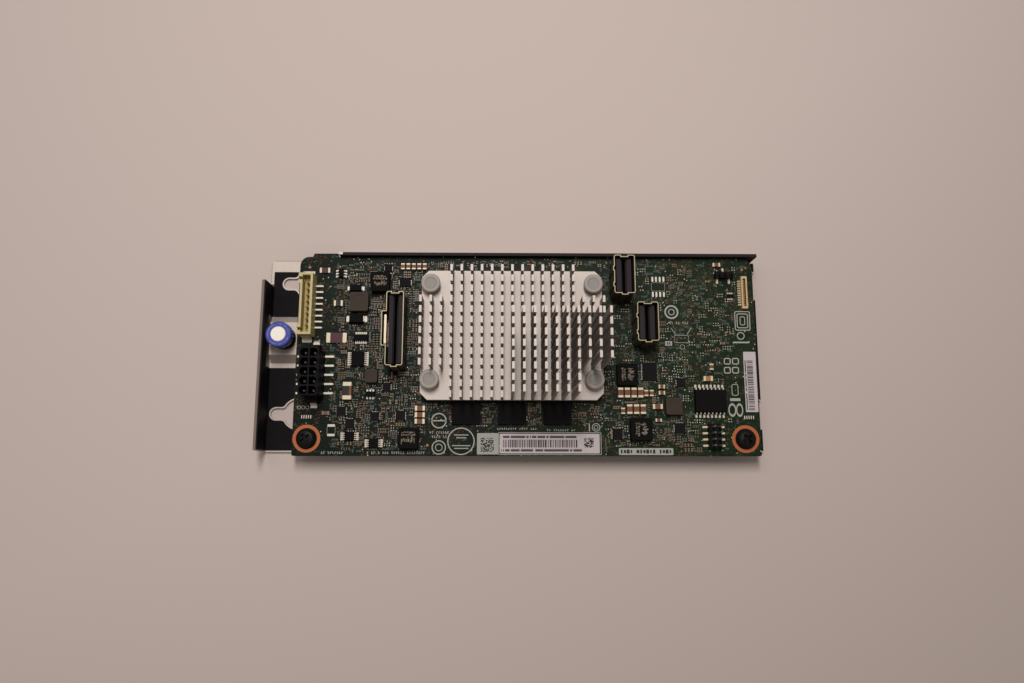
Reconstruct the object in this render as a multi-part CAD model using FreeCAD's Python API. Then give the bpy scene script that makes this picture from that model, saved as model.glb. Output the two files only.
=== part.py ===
"""Storage controller card on its carrier tray.

A populated circuit board sits on a folded steel tray. Four keyholes in the tray floor drop over
headed studs in a chassis, and a spring-loaded plunger with a round knob locks the tray there.
The board holds a finned heat sink over its controller chip, three shielded cable sockets, a power
header, a signal header and the chips, coils and capacitors that serve them.

Millimetres, +Z up. Board places are measured from the board's front left corner, and heights from
the tray's underside. At the end every piece is moved so that the origin is the middle of the
tray's underside.
"""
import FreeCAD, Part
import math
import os

V = FreeCAD.Vector

# ---------------------------------------------------------------- driving dimensions
# Circuit board: the heat sink's plate with a populated zone on each of its four sides
left_zone = 41.13
right_zone = 51.38
front_zone = 17.62
back_zone = 5.86
board_thickness = 1.6
board_corner = 0.6
board_left_round = 3.0
board_right_round = 3.6
board_height = 6.0              # underside of the board above the tray's underside
edge_tab_width = 10.4
edge_tab_insets = (11.7, -2.4, -10.4)   # from the plate's left and right edges, and the board's right
corner_tab_start = 4.5
corner_tab_width = 7.9

# Carrier tray, one folded sheet
sheet = 0.8
bend_radius = 0.5               # inside radius of the folds
left_margin = 11.4              # the tray reaches past the board on the left
right_margin = 2.8
front_setback = 1.4             # the tray's front edge lies behind the board's
back_wall_gap = 0.35            # board edge to the back wall
back_wall_rise = 2.0            # back wall above the board's face
back_wall_start = 13.0
back_wall_end_setback = 1.6
left_wall_height = 11.0
left_wall_back_gap = 9.6        # the left wall ends this far before the back wall's outside
left_wall_front_gap = 0.2
left_wall_chamfer = 0.4
corner_tab_relief = 0.6
tray_tab_corner = 1.2
tray_tab_setback = 0.7
tab_slot_clearance = 0.3

# Lanced bridge in the tray floor, which carries the plunger
bridge_rise = 3.3
bridge_length = 20.0
bridge_flat = 10.3
bridge_slope = 2.5
bridge_y = 38.8
bridge_start = 1.5              # from the tray's left face
lance_gap = 0.3

# Keyholes
keyhole_round_radius = 4.9
keyhole_slot_width = 3.6
keyhole_reach = 9.2             # from the round hole's centre to the slot's round end
keyhole_neck_radius = 1.3
keyhole_front_y = 14.05
keyhole_back_inset = 8.8        # from the back wall's outside
keyhole_front_x = 0.0
keyhole_back_x = 2.2
keyhole_right_inset = 2.2       # the right pair lies just inside the tray's right edge

# Insulating film
film_thickness = 0.25
film_front_setback = 0.6
film_back_setback = 3.9         # left of the back wall the film stops short of it
film_edge_setback = 0.05
film_left_gap = 0.2
film_left_rise = 10.0
film_window_rise = 5.0          # the window runs this far up the left wall
film_relief = 0.5
film_window_front = 29.3
film_window_back = 46.8
film_window_right = 14.0

# Lock plunger
plunger_x = -4.93
pin_diameter = 3.5
nose_diameter = 2.8
nose_chamfer = 0.5
nose_clearance = 0.15           # the nose ends this far below the bridge
pin_clearance = 0.08
collar_diameter = 5.2
collar_height = 0.9
ferrule_wall = 0.6
ferrule_floor = 0.7
ferrule_flange_diameter = 7.6
ferrule_flange_height = 1.1
spring_room = 4.7
ferrule_lip = 0.7
plunger_wire = 0.35
plunger_coil_count = 4
knob_diameter = 8.4
knob_skirt_clearance = 0.3
knob_skirt = 2.2
knob_crown = 1.7
knob_gap = 0.2
knob_edge = 0.5
knob_grip_depth = 0.25
knob_grip_radius = 0.6
knob_grip_stop = 0.9            # the grooves end this far below the crown
knob_grip_count = 12
pin_cap_diameter = 4.9
pin_cap_height = 0.6
plunger_travel = 3.0

# Screws and standoffs
screw_diameter = 3.0
screw_length = 5.6
screw_head_diameter = 6.3
screw_head_height = 2.1
screw_left = (4.6, 5.5)
screw_right_inset = 5.0
standoff_diameter = 5.4
standoff_shank_diameter = 4.2
standoff_clearance = 0.04
board_hole_diameter = 3.4
recess_width = 0.9
recess_length = 3.4
recess_depth = 1.2

# Heat sink
fin_columns = 19
fin_rows = 13
fin_pitch_x = 3.227
fin_pitch_y = 3.364
fin_x = 0.8
fin_y = 2.1
fin_ridge = 0.9                 # what the cross cuts leave of each fin, above the plate
plate_lift = 2.0                # plate underside above the board's face
plate_thickness = 2.5
plate_chamfer = 2.2
short_fin = 8.4
tall_fin = 23.8
tall_from_column = 9
tall_from_row = 5
corner_clear = 3                # fins left out at each corner, in columns and rows

# Push pins that hold the heat sink
push_pin_inset_x = 3.1
push_pin_inset_y = 5.6
push_pin_shift_y = 0.7
push_pin_diameter = 3.0
push_pin_head_diameter = 6.2
push_pin_head_height = 1.1
push_pin_hole_clearance = 0.2
push_pin_spring_height = 2.4
push_pin_barb = 3.8
push_pin_tip = 1.9
push_spring_diameter = 5.0
push_spring_wire = 0.5
push_spring_coils = 2

# Controller chip and memory
controller_size = 27.0
controller_substrate = 1.1
lid_size = 22.0
lid_height = 0.7
memory_size = (9.1, 13.3, 1.1)
memory_count = 3
memory_pitch = 14.75
memory_reach = 7.5              # the memory chips stand this far out in front of the plate

# Cable sockets
socket_height = 10.4
shell_wall = 0.25
shell_corner = 0.7
key_width = 2.1
key_depth = 0.5
socket_slot = 1.5
slot_depth = 6.6
housing_recess = 1.8
contact_pitch = 0.6
contact_width = 0.3
contact_depth = 0.3
contact_height = 5.9
long_socket = {"width": 5.6, "end": 0.85, "contact_count": 37,
               "wall": 1.45, "shift": 0.15, "pocket": 1.4, "bumps": ()}
short_socket = {"width": 6.8, "end": 0.65, "contact_count": 19,
                "wall": 1.65, "shift": 0.0, "pocket": 0.0, "bumps": (-3.4, 1.9)}
long_socket_place = (33.2, 39.8)
back_socket_place = (6.75, 57.8)        # right of the plate, and up from the board's front edge
front_socket_place = (13.9, 42.3)
bump_length = 1.7
bump_depth = 0.3
pocket_length = 11.3
latch_strip = (0.7, 9.4, 8.6)           # spring latch in the long socket's pocket

# Signal header: one row, 2 mm pitch, beside the left edge
signal_pin_count = 8
signal_pitch = 2.0
signal_x = 3.75
signal_y = 48.75
signal_width = 4.0
signal_end = 3.2                # body past the last pin
signal_height = 6.0
signal_wall = 0.7
signal_end_step = 0.6
signal_end_length = 3.6
signal_pin = 0.5
signal_lead_end = 8.0
signal_nail = (3.0, 1.7, 0.4)
nail_rise = 1.6

# Power header: two rows, 3 mm pitch
power_pin_count = 5
power_pitch = 3.0
power_x = 6.55
power_y = 26.07
power_width = 6.2
power_height = 9.9
power_cavity = 2.45
power_cavity_chamfer = 0.7
power_floor = 2.0
power_pin = 0.64
power_pin_height = 7.7
power_lead_reach = 5.95
power_lug = (3.6, 1.7, 4.2)
power_nail = (1.9, 1.4, 0.4)

# Pin headers on the right: two rows of four, and a three-pin jumper
header_pitch = 2.0
header_pin = 0.5
header_body_height = 2.0
header_body_width = 4.0
header_pin_height = 6.2
header_row_count = 4
header_place = (15.35, 6.3)             # in from the right, up from the front
header_lead_reach = 3.5
jumper_pin_count = 3
jumper_place = (10.0, 59.85)            # in from the right, up from the front
jumper_body_width = 2.0
jumper_lead_reach = 2.6

# Narrow cable connector at the right edge
cable_body = (1.9, 11.0, 1.4)
cable_place = (3.3, 54.05)              # in from the right, up from the front
cable_contact_count = 11
cable_pitch = 0.8
cable_slot = (0.9, 9.4, 1.0)
cable_contact = (0.3, 0.25)
cable_lead_reach = 1.8

# Flash chip: wide small-outline body, two rows of leads
flash_body = (10.3, 7.4, 2.3)
flash_place = (35.1, 17.75)             # right of the plate, up from the front
flash_lead_count = 8
flash_pitch = 1.27
flash_lead_width = 0.42
flash_span = 10.6

# Labels
label_thickness = 0.1
barcode_label = (12.2, 3.97, 32.3, 6.3) # first value is from the heat sink's middle
square_label = (-7.8, 3.9, 6.8, 6.8)
edge_label = (2.4, 24.2, 4.1, 19.9)     # first value is in from the right

# ---------------------------------------------------------------- levels and edges
plate_wide = (fin_columns - 1) * fin_pitch_x + fin_x
plate_deep = (fin_rows - 1) * fin_pitch_y + fin_y
plate_right = left_zone + plate_wide
sink_x = left_zone + plate_wide / 2
sink_y = front_zone + plate_deep / 2
board_length = plate_right + right_zone
board_width = front_zone + plate_deep + back_zone
face = board_height + board_thickness   # the board's component face
tray_left = -left_margin
tray_right = board_length + right_margin
tray_front = front_setback
wall_inside = board_width + back_wall_gap
tray_back = wall_inside + sheet
film_top = sheet + film_thickness
wall_top = face + back_wall_rise
left_wall_back_end = tray_back - left_wall_back_gap
plunger_y = bridge_y
middle = V((tray_left + tray_right) / 2, (tray_front + tray_back) / 2, 0)
screws = (screw_left, (board_length - screw_right_inset, screw_left[1]))
keyhole_back_y = tray_back - keyhole_back_inset
keyholes = ((keyhole_front_x, keyhole_front_y), (keyhole_back_x, keyhole_back_y),
            (tray_right - keyhole_right_inset, keyhole_front_y),
            (tray_right - keyhole_right_inset, keyhole_back_y))


# ---------------------------------------------------------------- shapes
def outline(corners, z):
    """Closed wire through (x, y, radius) corners. A radius of 0 keeps the corner sharp."""
    count = len(corners)
    stops = []
    for i, (x, y, radius) in enumerate(corners):
        corner = V(x, y, z)
        before = V(corners[i - 1][0], corners[i - 1][1], z) - corner
        after = V(corners[(i + 1) % count][0], corners[(i + 1) % count][1], z) - corner
        before.normalize()
        after.normalize()
        if radius <= 0:
            stops.append((corner, None, corner))
            continue
        half = before.getAngle(after) / 2
        setback = radius / math.tan(half)
        inward = before + after
        inward.normalize()
        middle_of_arc = corner + inward * (radius / math.sin(half) - radius)
        stops.append((corner + before * setback, middle_of_arc, corner + after * setback))
    edges = []
    for i, (start, arc, end) in enumerate(stops):
        if arc is not None:
            edges.append(Part.Arc(start, arc, end).toShape())
        following = stops[(i + 1) % count][0]
        if end.distanceToPoint(following) > 1e-6:
            edges.append(Part.LineSegment(end, following).toShape())
    return Part.Wire(edges)


def prism(corners, z0, z1):
    return Part.Face(outline(corners, z0)).extrude(V(0, 0, z1 - z0))


def block(x0, y0, z0, x1, y1, z1):
    return Part.makeBox(x1 - x0, y1 - y0, z1 - z0, V(x0, y0, z0))


def slab(x, y, z0, size, corner=0.0):
    """Upright block (wide, deep, high) centred on x, y and standing on z0."""
    wide, deep, high = size
    box = [(x - wide / 2, y - deep / 2, corner), (x + wide / 2, y - deep / 2, corner),
           (x + wide / 2, y + deep / 2, corner), (x - wide / 2, y + deep / 2, corner)]
    return prism(box, z0, z0 + high)


def cylinder(x, y, diameter, z0, z1):
    return Part.makeCylinder(diameter / 2, z1 - z0, V(x, y, z0))


def turned(x, y, profile):
    """Solid of revolution about the vertical line at x, y from (radius, z) points."""
    points = [V(x + radius, y, z) for radius, z in profile]
    face_ = Part.Face(Part.makePolygon(points + points[:1]))
    return face_.revolve(V(x, y, 0), V(0, 0, 1), 360)


def swept_profile(points, start, run):
    """Extrude a closed polygon of 3-D points, moved to start, along the vector run."""
    wire = Part.makePolygon([V(*p) + start for p in points] + [V(*points[0]) + start])
    return Part.Face(wire).extrude(run)


def fuse(shapes):
    first, rest = shapes[0], list(shapes[1:])
    return first.multiFuse(rest).removeSplitter() if rest else first


def group(solids):
    return Part.makeCompound(list(solids))


def coil(x, y, z0, z1, diameter, wire, turns):
    """Round spring of square wire between two levels."""
    radius = (diameter - wire) / 2
    rise = (z1 - z0 - wire)
    path = Part.makeHelix(rise / turns, rise, radius)
    path.translate(V(x, y, z0 + wire / 2))
    h = wire / 2
    corners = [V(x + radius - h, y, z0), V(x + radius + h, y, z0),
               V(x + radius + h, y, z0 + wire), V(x + radius - h, y, z0 + wire)]
    section = Part.makePolygon(corners + corners[:1])
    return Part.Wire(path.Edges).makePipeShell([section], True, True)


# ---------------------------------------------------------------- tray
def fold(length_start, length_end, height, along):
    """Angle of sheet at a fold: a floor strip, the bend and a wall up to height.

    The corner of the fold is at the origin, with the floor running towards +u and the wall
    rising from u = 0. along is "x" or "y", the direction of the fold line.
    """
    outside = bend_radius + sheet

    def point(u, z, w):
        return V(w, -u, z) if along == "x" else V(u, w, z)

    w = length_start
    centre = (outside, outside)
    diagonal = math.sqrt(0.5)
    edges = [
        Part.LineSegment(point(outside, 0, w), point(outside, sheet, w)),
        Part.Arc(point(outside, sheet, w),
                 point(centre[0] - bend_radius * diagonal, centre[1] - bend_radius * diagonal, w),
                 point(sheet, outside, w)),
        Part.LineSegment(point(sheet, outside, w), point(sheet, height, w)),
        Part.LineSegment(point(sheet, height, w), point(0, height, w)),
        Part.LineSegment(point(0, height, w), point(0, outside, w)),
        Part.Arc(point(0, outside, w),
                 point(centre[0] - outside * diagonal, centre[1] - outside * diagonal, w),
                 point(outside, 0, w)),
    ]
    wire = Part.Wire(Part.__sortEdges__([e.toShape() for e in edges]))
    run = length_end - length_start
    return Part.Face(wire).extrude(V(run, 0, 0) if along == "x" else V(0, run, 0))


def keyhole_cutter(x, y, grow, z0, z1):
    """Round hole with a slot to its left, widened all round by grow."""
    half = keyhole_slot_width / 2 + grow
    radius = keyhole_round_radius + grow
    end = x - keyhole_reach + keyhole_slot_width / 2
    round_hole = cylinder(x, y, 2 * radius, z0, z1)
    slot = block(end, y - half, z0, x, y + half, z1)
    slot_end = cylinder(end, y, 2 * half, z0, z1)
    cutter = fuse([round_hole, slot, slot_end])
    neck_x = x - math.sqrt(radius ** 2 - half ** 2)
    necks = [edge for edge in cutter.Edges
             if len(edge.Vertexes) == 2
             and abs(edge.Vertexes[0].X - neck_x) < 0.01 and abs(edge.Vertexes[1].X - neck_x) < 0.01
             and abs(edge.Vertexes[0].Z - edge.Vertexes[1].Z) > 0.01]
    return cutter.makeFillet(keyhole_neck_radius, necks) if len(necks) == 2 else cutter


def bridge_shape(x0, x1):
    """The formed strip: up one slope, over the flat and down the other."""
    half_flat = bridge_flat / 2
    foot = half_flat + bridge_slope
    y = bridge_y
    lean = sheet * bridge_slope / (2 * bridge_rise)
    points = [(-foot - 0.6, 0), (-foot + lean, 0), (-half_flat + lean, bridge_rise),
              (half_flat - lean, bridge_rise), (foot - lean, 0), (foot + 0.6, 0),
              (foot + 0.6, sheet), (foot + lean, sheet), (half_flat + lean, bridge_rise + sheet),
              (-half_flat - lean, bridge_rise + sheet), (-foot - lean, sheet), (-foot - 0.6, sheet)]
    return swept_profile([(0, v, z) for v, z in points], V(x0, y, 0), V(x1 - x0, 0, 0))


def board_tab_ranges():
    edges = (left_zone, plate_right, board_length)
    return [(edge + inset - edge_tab_width / 2, edge + inset + edge_tab_width / 2)
            for edge, inset in zip(edges, edge_tab_insets)]


def tray():
    outside = bend_radius + sheet
    tab_back = tray_back - tray_tab_setback
    wall_end = tray_right - back_wall_end_setback
    floor = prism([(tray_left + outside, tray_front, 0), (tray_right, tray_front, 0.5),
                   (tray_right, tray_back - outside, 0.5), (tray_left + outside, tray_back - outside, 0)],
                  0, sheet)
    tab_front = left_wall_back_end + corner_tab_relief
    corner_tab = prism([(tray_left, tab_front, 0), (back_wall_start, tab_front, 0),
                        (back_wall_start, tab_back, 0), (tray_left, tab_back, tray_tab_corner)], 0, sheet)
    wall_front = tray_front + left_wall_front_gap
    left = fold(wall_front, left_wall_back_end, left_wall_height, "y")
    left.translate(V(tray_left, 0, 0))
    back = fold(back_wall_start, wall_end, wall_top, "x")
    back.translate(V(0, tray_back, 0))
    body = fuse([floor, corner_tab, left, back])

    # the left wall's free corners are cut back at an angle
    for y, way in ((wall_front, 1), (left_wall_back_end, -1)):
        corner = [(0, y, left_wall_height), (0, y + way * left_wall_chamfer, left_wall_height),
                  (0, y, left_wall_height - 2 * left_wall_chamfer)]
        body = body.cut(swept_profile(corner, V(tray_left - 1, 0, 0), V(sheet + 2, 0, 0)))

    # lanced bridge: its opening first, then the raised strip joined at both feet
    x0 = tray_left + bridge_start
    x1 = x0 + bridge_length
    foot = bridge_flat / 2 + bridge_slope
    body = body.cut(block(x0 - lance_gap, bridge_y - foot, -1, x1 + lance_gap, bridge_y + foot, sheet + 0.1))
    body = fuse([body, bridge_shape(x0, x1)])
    body = body.cut(cylinder(plunger_x, plunger_y, ferrule_body_diameter(), bridge_rise - 1,
                             bridge_rise + sheet + 1))

    for x, y in keyholes:
        body = body.cut(keyhole_cutter(x, y, 0.0, -1, sheet + 1))
    for x, y in screws:
        body = body.cut(cylinder(x, y, standoff_shank_diameter + standoff_clearance, -1, sheet + 1))
    for start, end in board_tab_ranges():
        body = body.cut(block(start - tab_slot_clearance, tray_back - 2, board_height - tab_slot_clearance,
                              end + tab_slot_clearance, tray_back + 1, face + tab_slot_clearance))
    return body


def crease_cutter(along, corner, start, end):
    """What a rounded outside corner of the film loses, on the fold at the sheet's top."""
    r = bend_radius + 0.05
    if along == "y":
        bar = block(corner - 1, start, sheet - 1, corner + r, end, sheet + r)
        middle, way = V(corner + r, start - 1, sheet + r), V(0, 1, 0)
    else:
        bar = block(start, corner - r, sheet - 1, end, corner + 1, sheet + r)
        middle, way = V(start - 1, corner - r, sheet + r), V(1, 0, 0)
    return bar.cut(Part.makeCylinder(r, end - start + 2, middle, way))


def insulating_film():
    """Thin black sheet on the tray floor, turned up along the left and back walls."""
    left = tray_left + sheet + film_left_gap
    right = tray_right - film_edge_setback
    front = tray_front + film_front_setback
    back = wall_inside - 0.02
    film_back = wall_inside - film_back_setback
    floor = prism([(left, front, 0), (right, front, 0), (right, back, 0),
                   (back_wall_start + 0.5, back, 0), (back_wall_start + 0.5, film_back, 0),
                   (left, film_back, 0)], sheet, film_top)
    left_flap = block(left, front, sheet, left + film_thickness, left_wall_back_end - left_wall_chamfer,
                      sheet + film_left_rise)
    back_flap = block(back_wall_start + 0.5, back - film_thickness, sheet,
                      tray_right - back_wall_end_setback, back, wall_top - 0.1)
    film = fuse([floor, left_flap, back_flap])
    film = film.cut(crease_cutter("y", left, front - 1, film_back + 1))
    film = film.cut(crease_cutter("x", back, back_wall_start - 1, tray_right + 1))
    film = film.cut(block(left - 1, film_window_front, sheet - 1, film_window_right,
                          film_window_back, sheet + film_window_rise))
    for x, y in keyholes:
        film = film.cut(keyhole_cutter(x, y, film_relief, sheet - 1, film_top + 1))
    for x, y in screws:
        film = film.cut(cylinder(x, y, standoff_diameter + 2 * film_relief, sheet - 1, film_top + 1))
    for start, end in board_tab_ranges():
        film = film.cut(block(start - tab_slot_clearance, back - 1, board_height - tab_slot_clearance,
                              end + tab_slot_clearance, back + 1, face + tab_slot_clearance))
    return film


# ---------------------------------------------------------------- fixings
def standoffs():
    made = []
    for x, y in screws:
        post = fuse([cylinder(x, y, standoff_diameter, sheet, board_height),
                     cylinder(x, y, standoff_shank_diameter, 0, sheet)])
        made.append(post.cut(cylinder(x, y, screw_diameter, -1, board_height + 1)))
    return group(made)


def board_screws():
    """Pan-head screws with a cross recess."""
    made = []
    for x, y in screws:
        r = screw_head_diameter / 2
        top = face + screw_head_height
        head = turned(x, y, [(0, face), (r, face), (r, face + 0.9), (r * 0.92, face + 1.45),
                             (r * 0.72, top - 0.2), (r * 0.42, top), (0, top)])
        shank = cylinder(x, y, screw_diameter, face - screw_length, face)
        tip = screw_diameter / 2
        point = turned(x, y, [(0, face - screw_length - 0.5), (tip - 0.5, face - screw_length - 0.5),
                              (tip, face - screw_length), (0, face - screw_length)])
        screw = fuse([head, shank, point])
        for wide, deep in ((recess_length, recess_width), (recess_width, recess_length)):
            arm = slab(x, y, top - recess_depth, (wide, deep, recess_depth + 1))
            arm.rotate(V(x, y, 0), V(0, 0, 1), 38)
            screw = screw.cut(arm)
        made.append(screw)
    return group(made)


# ---------------------------------------------------------------- lock plunger
def ferrule_body_diameter():
    return collar_diameter + 2 * (pin_clearance + 0.1) + 2 * ferrule_wall


def ferrule_levels():
    """Levels from the bridge's underside up: floor, spring room, lip."""
    base = bridge_rise
    floor = base + ferrule_floor
    room = floor + collar_height + spring_room
    return base, floor, room, room + ferrule_lip


def plunger_ferrule():
    base, floor, room, top = ferrule_levels()
    outer = ferrule_body_diameter() / 2
    seat = bridge_rise + sheet
    flange = max(ferrule_flange_diameter, 2 * outer + 0.6) / 2
    inner = collar_diameter / 2 + pin_clearance + 0.1
    bore = pin_diameter / 2 + pin_clearance
    shape = turned(plunger_x, plunger_y,
                   [(bore, base), (outer, base), (outer, seat), (flange, seat),
                    (flange, seat + ferrule_flange_height), (outer, seat + ferrule_flange_height),
                    (outer, top), (bore, top), (bore, room), (inner, room), (inner, floor), (bore, floor)])
    return shape


def plunger_spring():
    base, floor, room, top = ferrule_levels()
    return coil(plunger_x, plunger_y, floor + collar_height + 0.02, room - 0.02,
                collar_diameter - 0.1, plunger_wire, plunger_coil_count)


def knob_levels():
    """Levels of the knob: lower edge, underside of the crown, top."""
    base, floor, room, top = ferrule_levels()
    under_crown = top + knob_gap
    return under_crown - knob_skirt, under_crown, under_crown + knob_crown


def plunger_pin():
    """Turned pin: locking nose, collar that the spring bears on, and a capped top."""
    base, floor, room, top = ferrule_levels()
    skirt, under_crown, crown = knob_levels()
    r = pin_diameter / 2
    nose = nose_diameter / 2
    shoulder = base - nose_clearance
    collar = collar_diameter / 2
    cap = pin_cap_diameter / 2
    return turned(plunger_x, plunger_y,
                  [(0, 0), (nose - nose_chamfer, 0), (nose, nose_chamfer), (nose, shoulder), (r, shoulder),
                   (r, floor), (collar, floor), (collar, floor + collar_height),
                   (r, floor + collar_height), (r, crown - pin_cap_height), (cap, crown - pin_cap_height),
                   (cap, crown + 0.1), (cap - 0.2, crown + 0.3), (0, crown + 0.3)])


def plunger_knob():
    skirt, under_crown, crown = knob_levels()
    r = knob_diameter / 2
    inner = ferrule_body_diameter() / 2 + knob_skirt_clearance
    bore = pin_diameter / 2
    cap = pin_cap_diameter / 2
    knob = turned(plunger_x, plunger_y,
                  [(inner, skirt), (r - 0.3, skirt), (r, skirt + 0.3), (r, crown - knob_edge),
                   (r - knob_edge * 0.3, crown - knob_edge * 0.3), (r - knob_edge, crown),
                   (cap, crown), (cap, crown - pin_cap_height), (bore, crown - pin_cap_height),
                   (bore, under_crown), (inner, under_crown)])
    for i in range(knob_grip_count):
        turn = 360 * i / knob_grip_count
        groove = cylinder(plunger_x + r + knob_grip_radius - knob_grip_depth, plunger_y,
                          2 * knob_grip_radius, skirt - 1, crown - knob_grip_stop)
        groove.rotate(V(plunger_x, plunger_y, 0), V(0, 0, 1), turn)
        knob = knob.cut(groove)
    return knob


# ---------------------------------------------------------------- circuit board
def circuit_board():
    back = board_width
    tab_back = tray_back
    corners = [(0, 0, board_corner), (board_length, 0, board_corner), (board_length, back, board_right_round)]
    for start, end in reversed(board_tab_ranges()):
        corners += [(end, back, 0), (end, tab_back, 0.4), (start, tab_back, 0.4), (start, back, 0)]
    tab_end = corner_tab_start + corner_tab_width
    corners += [(tab_end, back, 0), (tab_end, tab_back, 0), (corner_tab_start, tab_back, 0.4),
                (corner_tab_start - 0.4, back, 0), (0, back, board_left_round)]
    board = prism(corners, board_height, face)
    holes = [cylinder(x, y, board_hole_diameter, board_height - 1, face + 1) for x, y in screws]
    holes += [cylinder(x, y, push_pin_diameter + push_pin_hole_clearance, board_height - 1, face + 1)
              for x, y in push_pin_places()]
    for hole in holes:
        board = board.cut(hole)
    return board


# ---------------------------------------------------------------- heat sink and chips under it
def push_pin_places():
    dx = plate_wide / 2 - push_pin_inset_x
    dy = plate_deep / 2 - push_pin_inset_y
    return [(sink_x + a * dx, sink_y + push_pin_shift_y + b * dy) for a in (-1, 1) for b in (-1, 1)]


def plate_top():
    return face + plate_lift + plate_thickness


def heat_sink():
    """Pin-fin heat sink: one tall block of fins in the front right part, short ones elsewhere.

    The fins run the whole depth and are sawn across down to a low ridge. The four corners carry
    none, to leave room for the push pins.
    """
    base = face + plate_lift
    c = plate_chamfer
    x0, x1 = left_zone, plate_right
    y0, y1 = front_zone, front_zone + plate_deep
    plate = prism([(x0 + c, y0, 0), (x1 - c, y0, 0), (x1, y0 + c, 0), (x1, y1 - c, 0), (x1 - c, y1, 0),
                   (x0 + c, y1, 0), (x0, y1 - c, 0), (x0, y0 + c, 0)], base, plate_top())
    fins = []
    for column in range(fin_columns):
        near_side = column < corner_clear or column >= fin_columns - corner_clear
        skipped = corner_clear if near_side else 0
        x = x0 + fin_x / 2 + column * fin_pitch_x
        ridge = plate_deep - 2 * skipped * fin_pitch_y
        fins.append(slab(x, (y0 + y1) / 2, plate_top() - 0.3, (fin_x, ridge, fin_ridge + 0.3)))
        for row in range(skipped, fin_rows - skipped):
            tall = column >= tall_from_column and row >= tall_from_row
            height = tall_fin if tall else short_fin
            y = y1 - fin_y / 2 - row * fin_pitch_y
            fins.append(slab(x, y, plate_top() - 0.3, (fin_x, fin_y, height + 0.3)))
    sink = fuse([plate] + fins)
    for x, y in push_pin_places():
        sink = sink.cut(cylinder(x, y, push_pin_diameter + 2 * push_pin_hole_clearance, base - 1,
                                 plate_top() + 1))
    return sink


def push_pin_head():
    return plate_top() + push_pin_spring_height


def push_pins():
    """Plastic pins: dished head, shaft, and a barbed tip that snaps under the board."""
    under = push_pin_head()
    top = under + push_pin_head_height
    r, head, barb = push_pin_diameter / 2, push_pin_head_diameter / 2, push_pin_barb / 2
    tip = board_height - push_pin_tip
    snap = board_height - 0.05
    made = []
    for x, y in push_pin_places():
        pin = turned(x, y, [(0, tip), (r * 0.55, tip), (barb, snap - 0.45), (barb, snap),
                            (r, snap), (r, under), (head, under), (head, top - 0.3),
                            (head - 0.3, top), (head * 0.62, top), (head * 0.5, top - 0.12), (0, top - 0.12)])
        made.append(pin.cut(slab(x, y, tip - 1, (0.7, 2 * barb + 1, board_height - tip + 0.6))))
    return group(made)


def push_pin_springs():
    return group(coil(x, y, plate_top(), push_pin_head(), push_spring_diameter, push_spring_wire,
                      push_spring_coils) for x, y in push_pin_places())


def controller_substrate_chip():
    return slab(sink_x, sink_y, face, (controller_size, controller_size, controller_substrate))


def controller_lid():
    z = face + controller_substrate
    return slab(sink_x, sink_y, z, (lid_size, lid_size, lid_height), 0.8)


def thermal_pad():
    z = face + controller_substrate + lid_height
    return slab(sink_x, sink_y, z, (lid_size - 2, lid_size - 2, face + plate_lift - z))


def memory_chips():
    y = front_zone - memory_reach + memory_size[1] / 2
    first = sink_x - (memory_count - 1) * memory_pitch / 2
    return group(slab(first + i * memory_pitch, y, face, memory_size) for i in range(memory_count))


# ---------------------------------------------------------------- shielded cable sockets
def socket_length(socket):
    """Shell length: the row of contacts and the closed ends beyond it."""
    return socket["contact_count"] * contact_pitch + 2 * socket["end"]


def socket_outline(socket, inset):
    """Shell outline with its two keys, and the latch pocket on the long socket."""
    x, y = socket["x"], socket["y"]
    w, h, k = socket["width"] / 2 - inset, socket_length(socket) / 2 - inset, key_width / 2
    corner = max(shell_corner - inset, 0.05)
    points = [(x - w, y - h, corner), (x - k + inset, y - h, 0), (x - k + inset, y - h - key_depth, 0),
              (x + k - inset, y - h - key_depth, 0), (x + k - inset, y - h, 0), (x + w, y - h, corner),
              (x + w, y + h, corner), (x + k + inset, y + h, 0), (x + k + inset, y + h - key_depth, 0),
              (x - k - inset, y + h - key_depth, 0), (x - k - inset, y + h, 0), (x - w, y + h, corner)]
    if socket["pocket"]:
        p = pocket_length / 2 - inset
        out = x - w - socket["pocket"]
        points += [(x - w, y + p, 0), (out, y + p, 0.3), (out, y - p, 0.3), (x - w, y - p, 0)]
    for middle_of_bump in reversed(socket["bumps"]):
        b = bump_length / 2 - inset
        yb = y + middle_of_bump
        points += [(x - w, yb + b, 0), (x - w - bump_depth, yb + b - 0.2, 0),
                   (x - w - bump_depth, yb - b + 0.2, 0), (x - w, yb - b, 0)]
    return points


def socket_shell(socket):
    top = face + socket_height
    return prism(socket_outline(socket, 0.0), face, top).cut(
        prism(socket_outline(socket, shell_wall), face - 1, top + 1))


def socket_sizes(socket):
    """Centre line of the slot and half sizes of the plastic body."""
    x = socket["x"] + socket["shift"]
    half_width = socket_slot / 2 + socket["wall"]
    half_length = socket_length(socket) / 2 - shell_wall - key_depth - 0.1
    return x, half_width, half_length


def socket_housing(socket):
    x, half_width, half_length = socket_sizes(socket)
    y = socket["y"]
    top = face + socket_height - housing_recess
    half_slot = socket_slot / 2
    slot_half_length = socket["contact_count"] * contact_pitch / 2
    body = block(x - half_width, y - half_length, face, x + half_width, y + half_length, top)
    body = body.cut(block(x - half_slot, y - slot_half_length, top - slot_depth,
                          x + half_slot, y + slot_half_length, top + 1))
    return body.makeChamfer(0.2, [edge for edge in body.Edges
                                  if abs(edge.BoundBox.ZMin - top) < 1e-4
                                  and abs(abs(edge.BoundBox.XMin - x) - half_slot) < 1e-4
                                  and edge.BoundBox.XLength < 1e-4])


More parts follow.
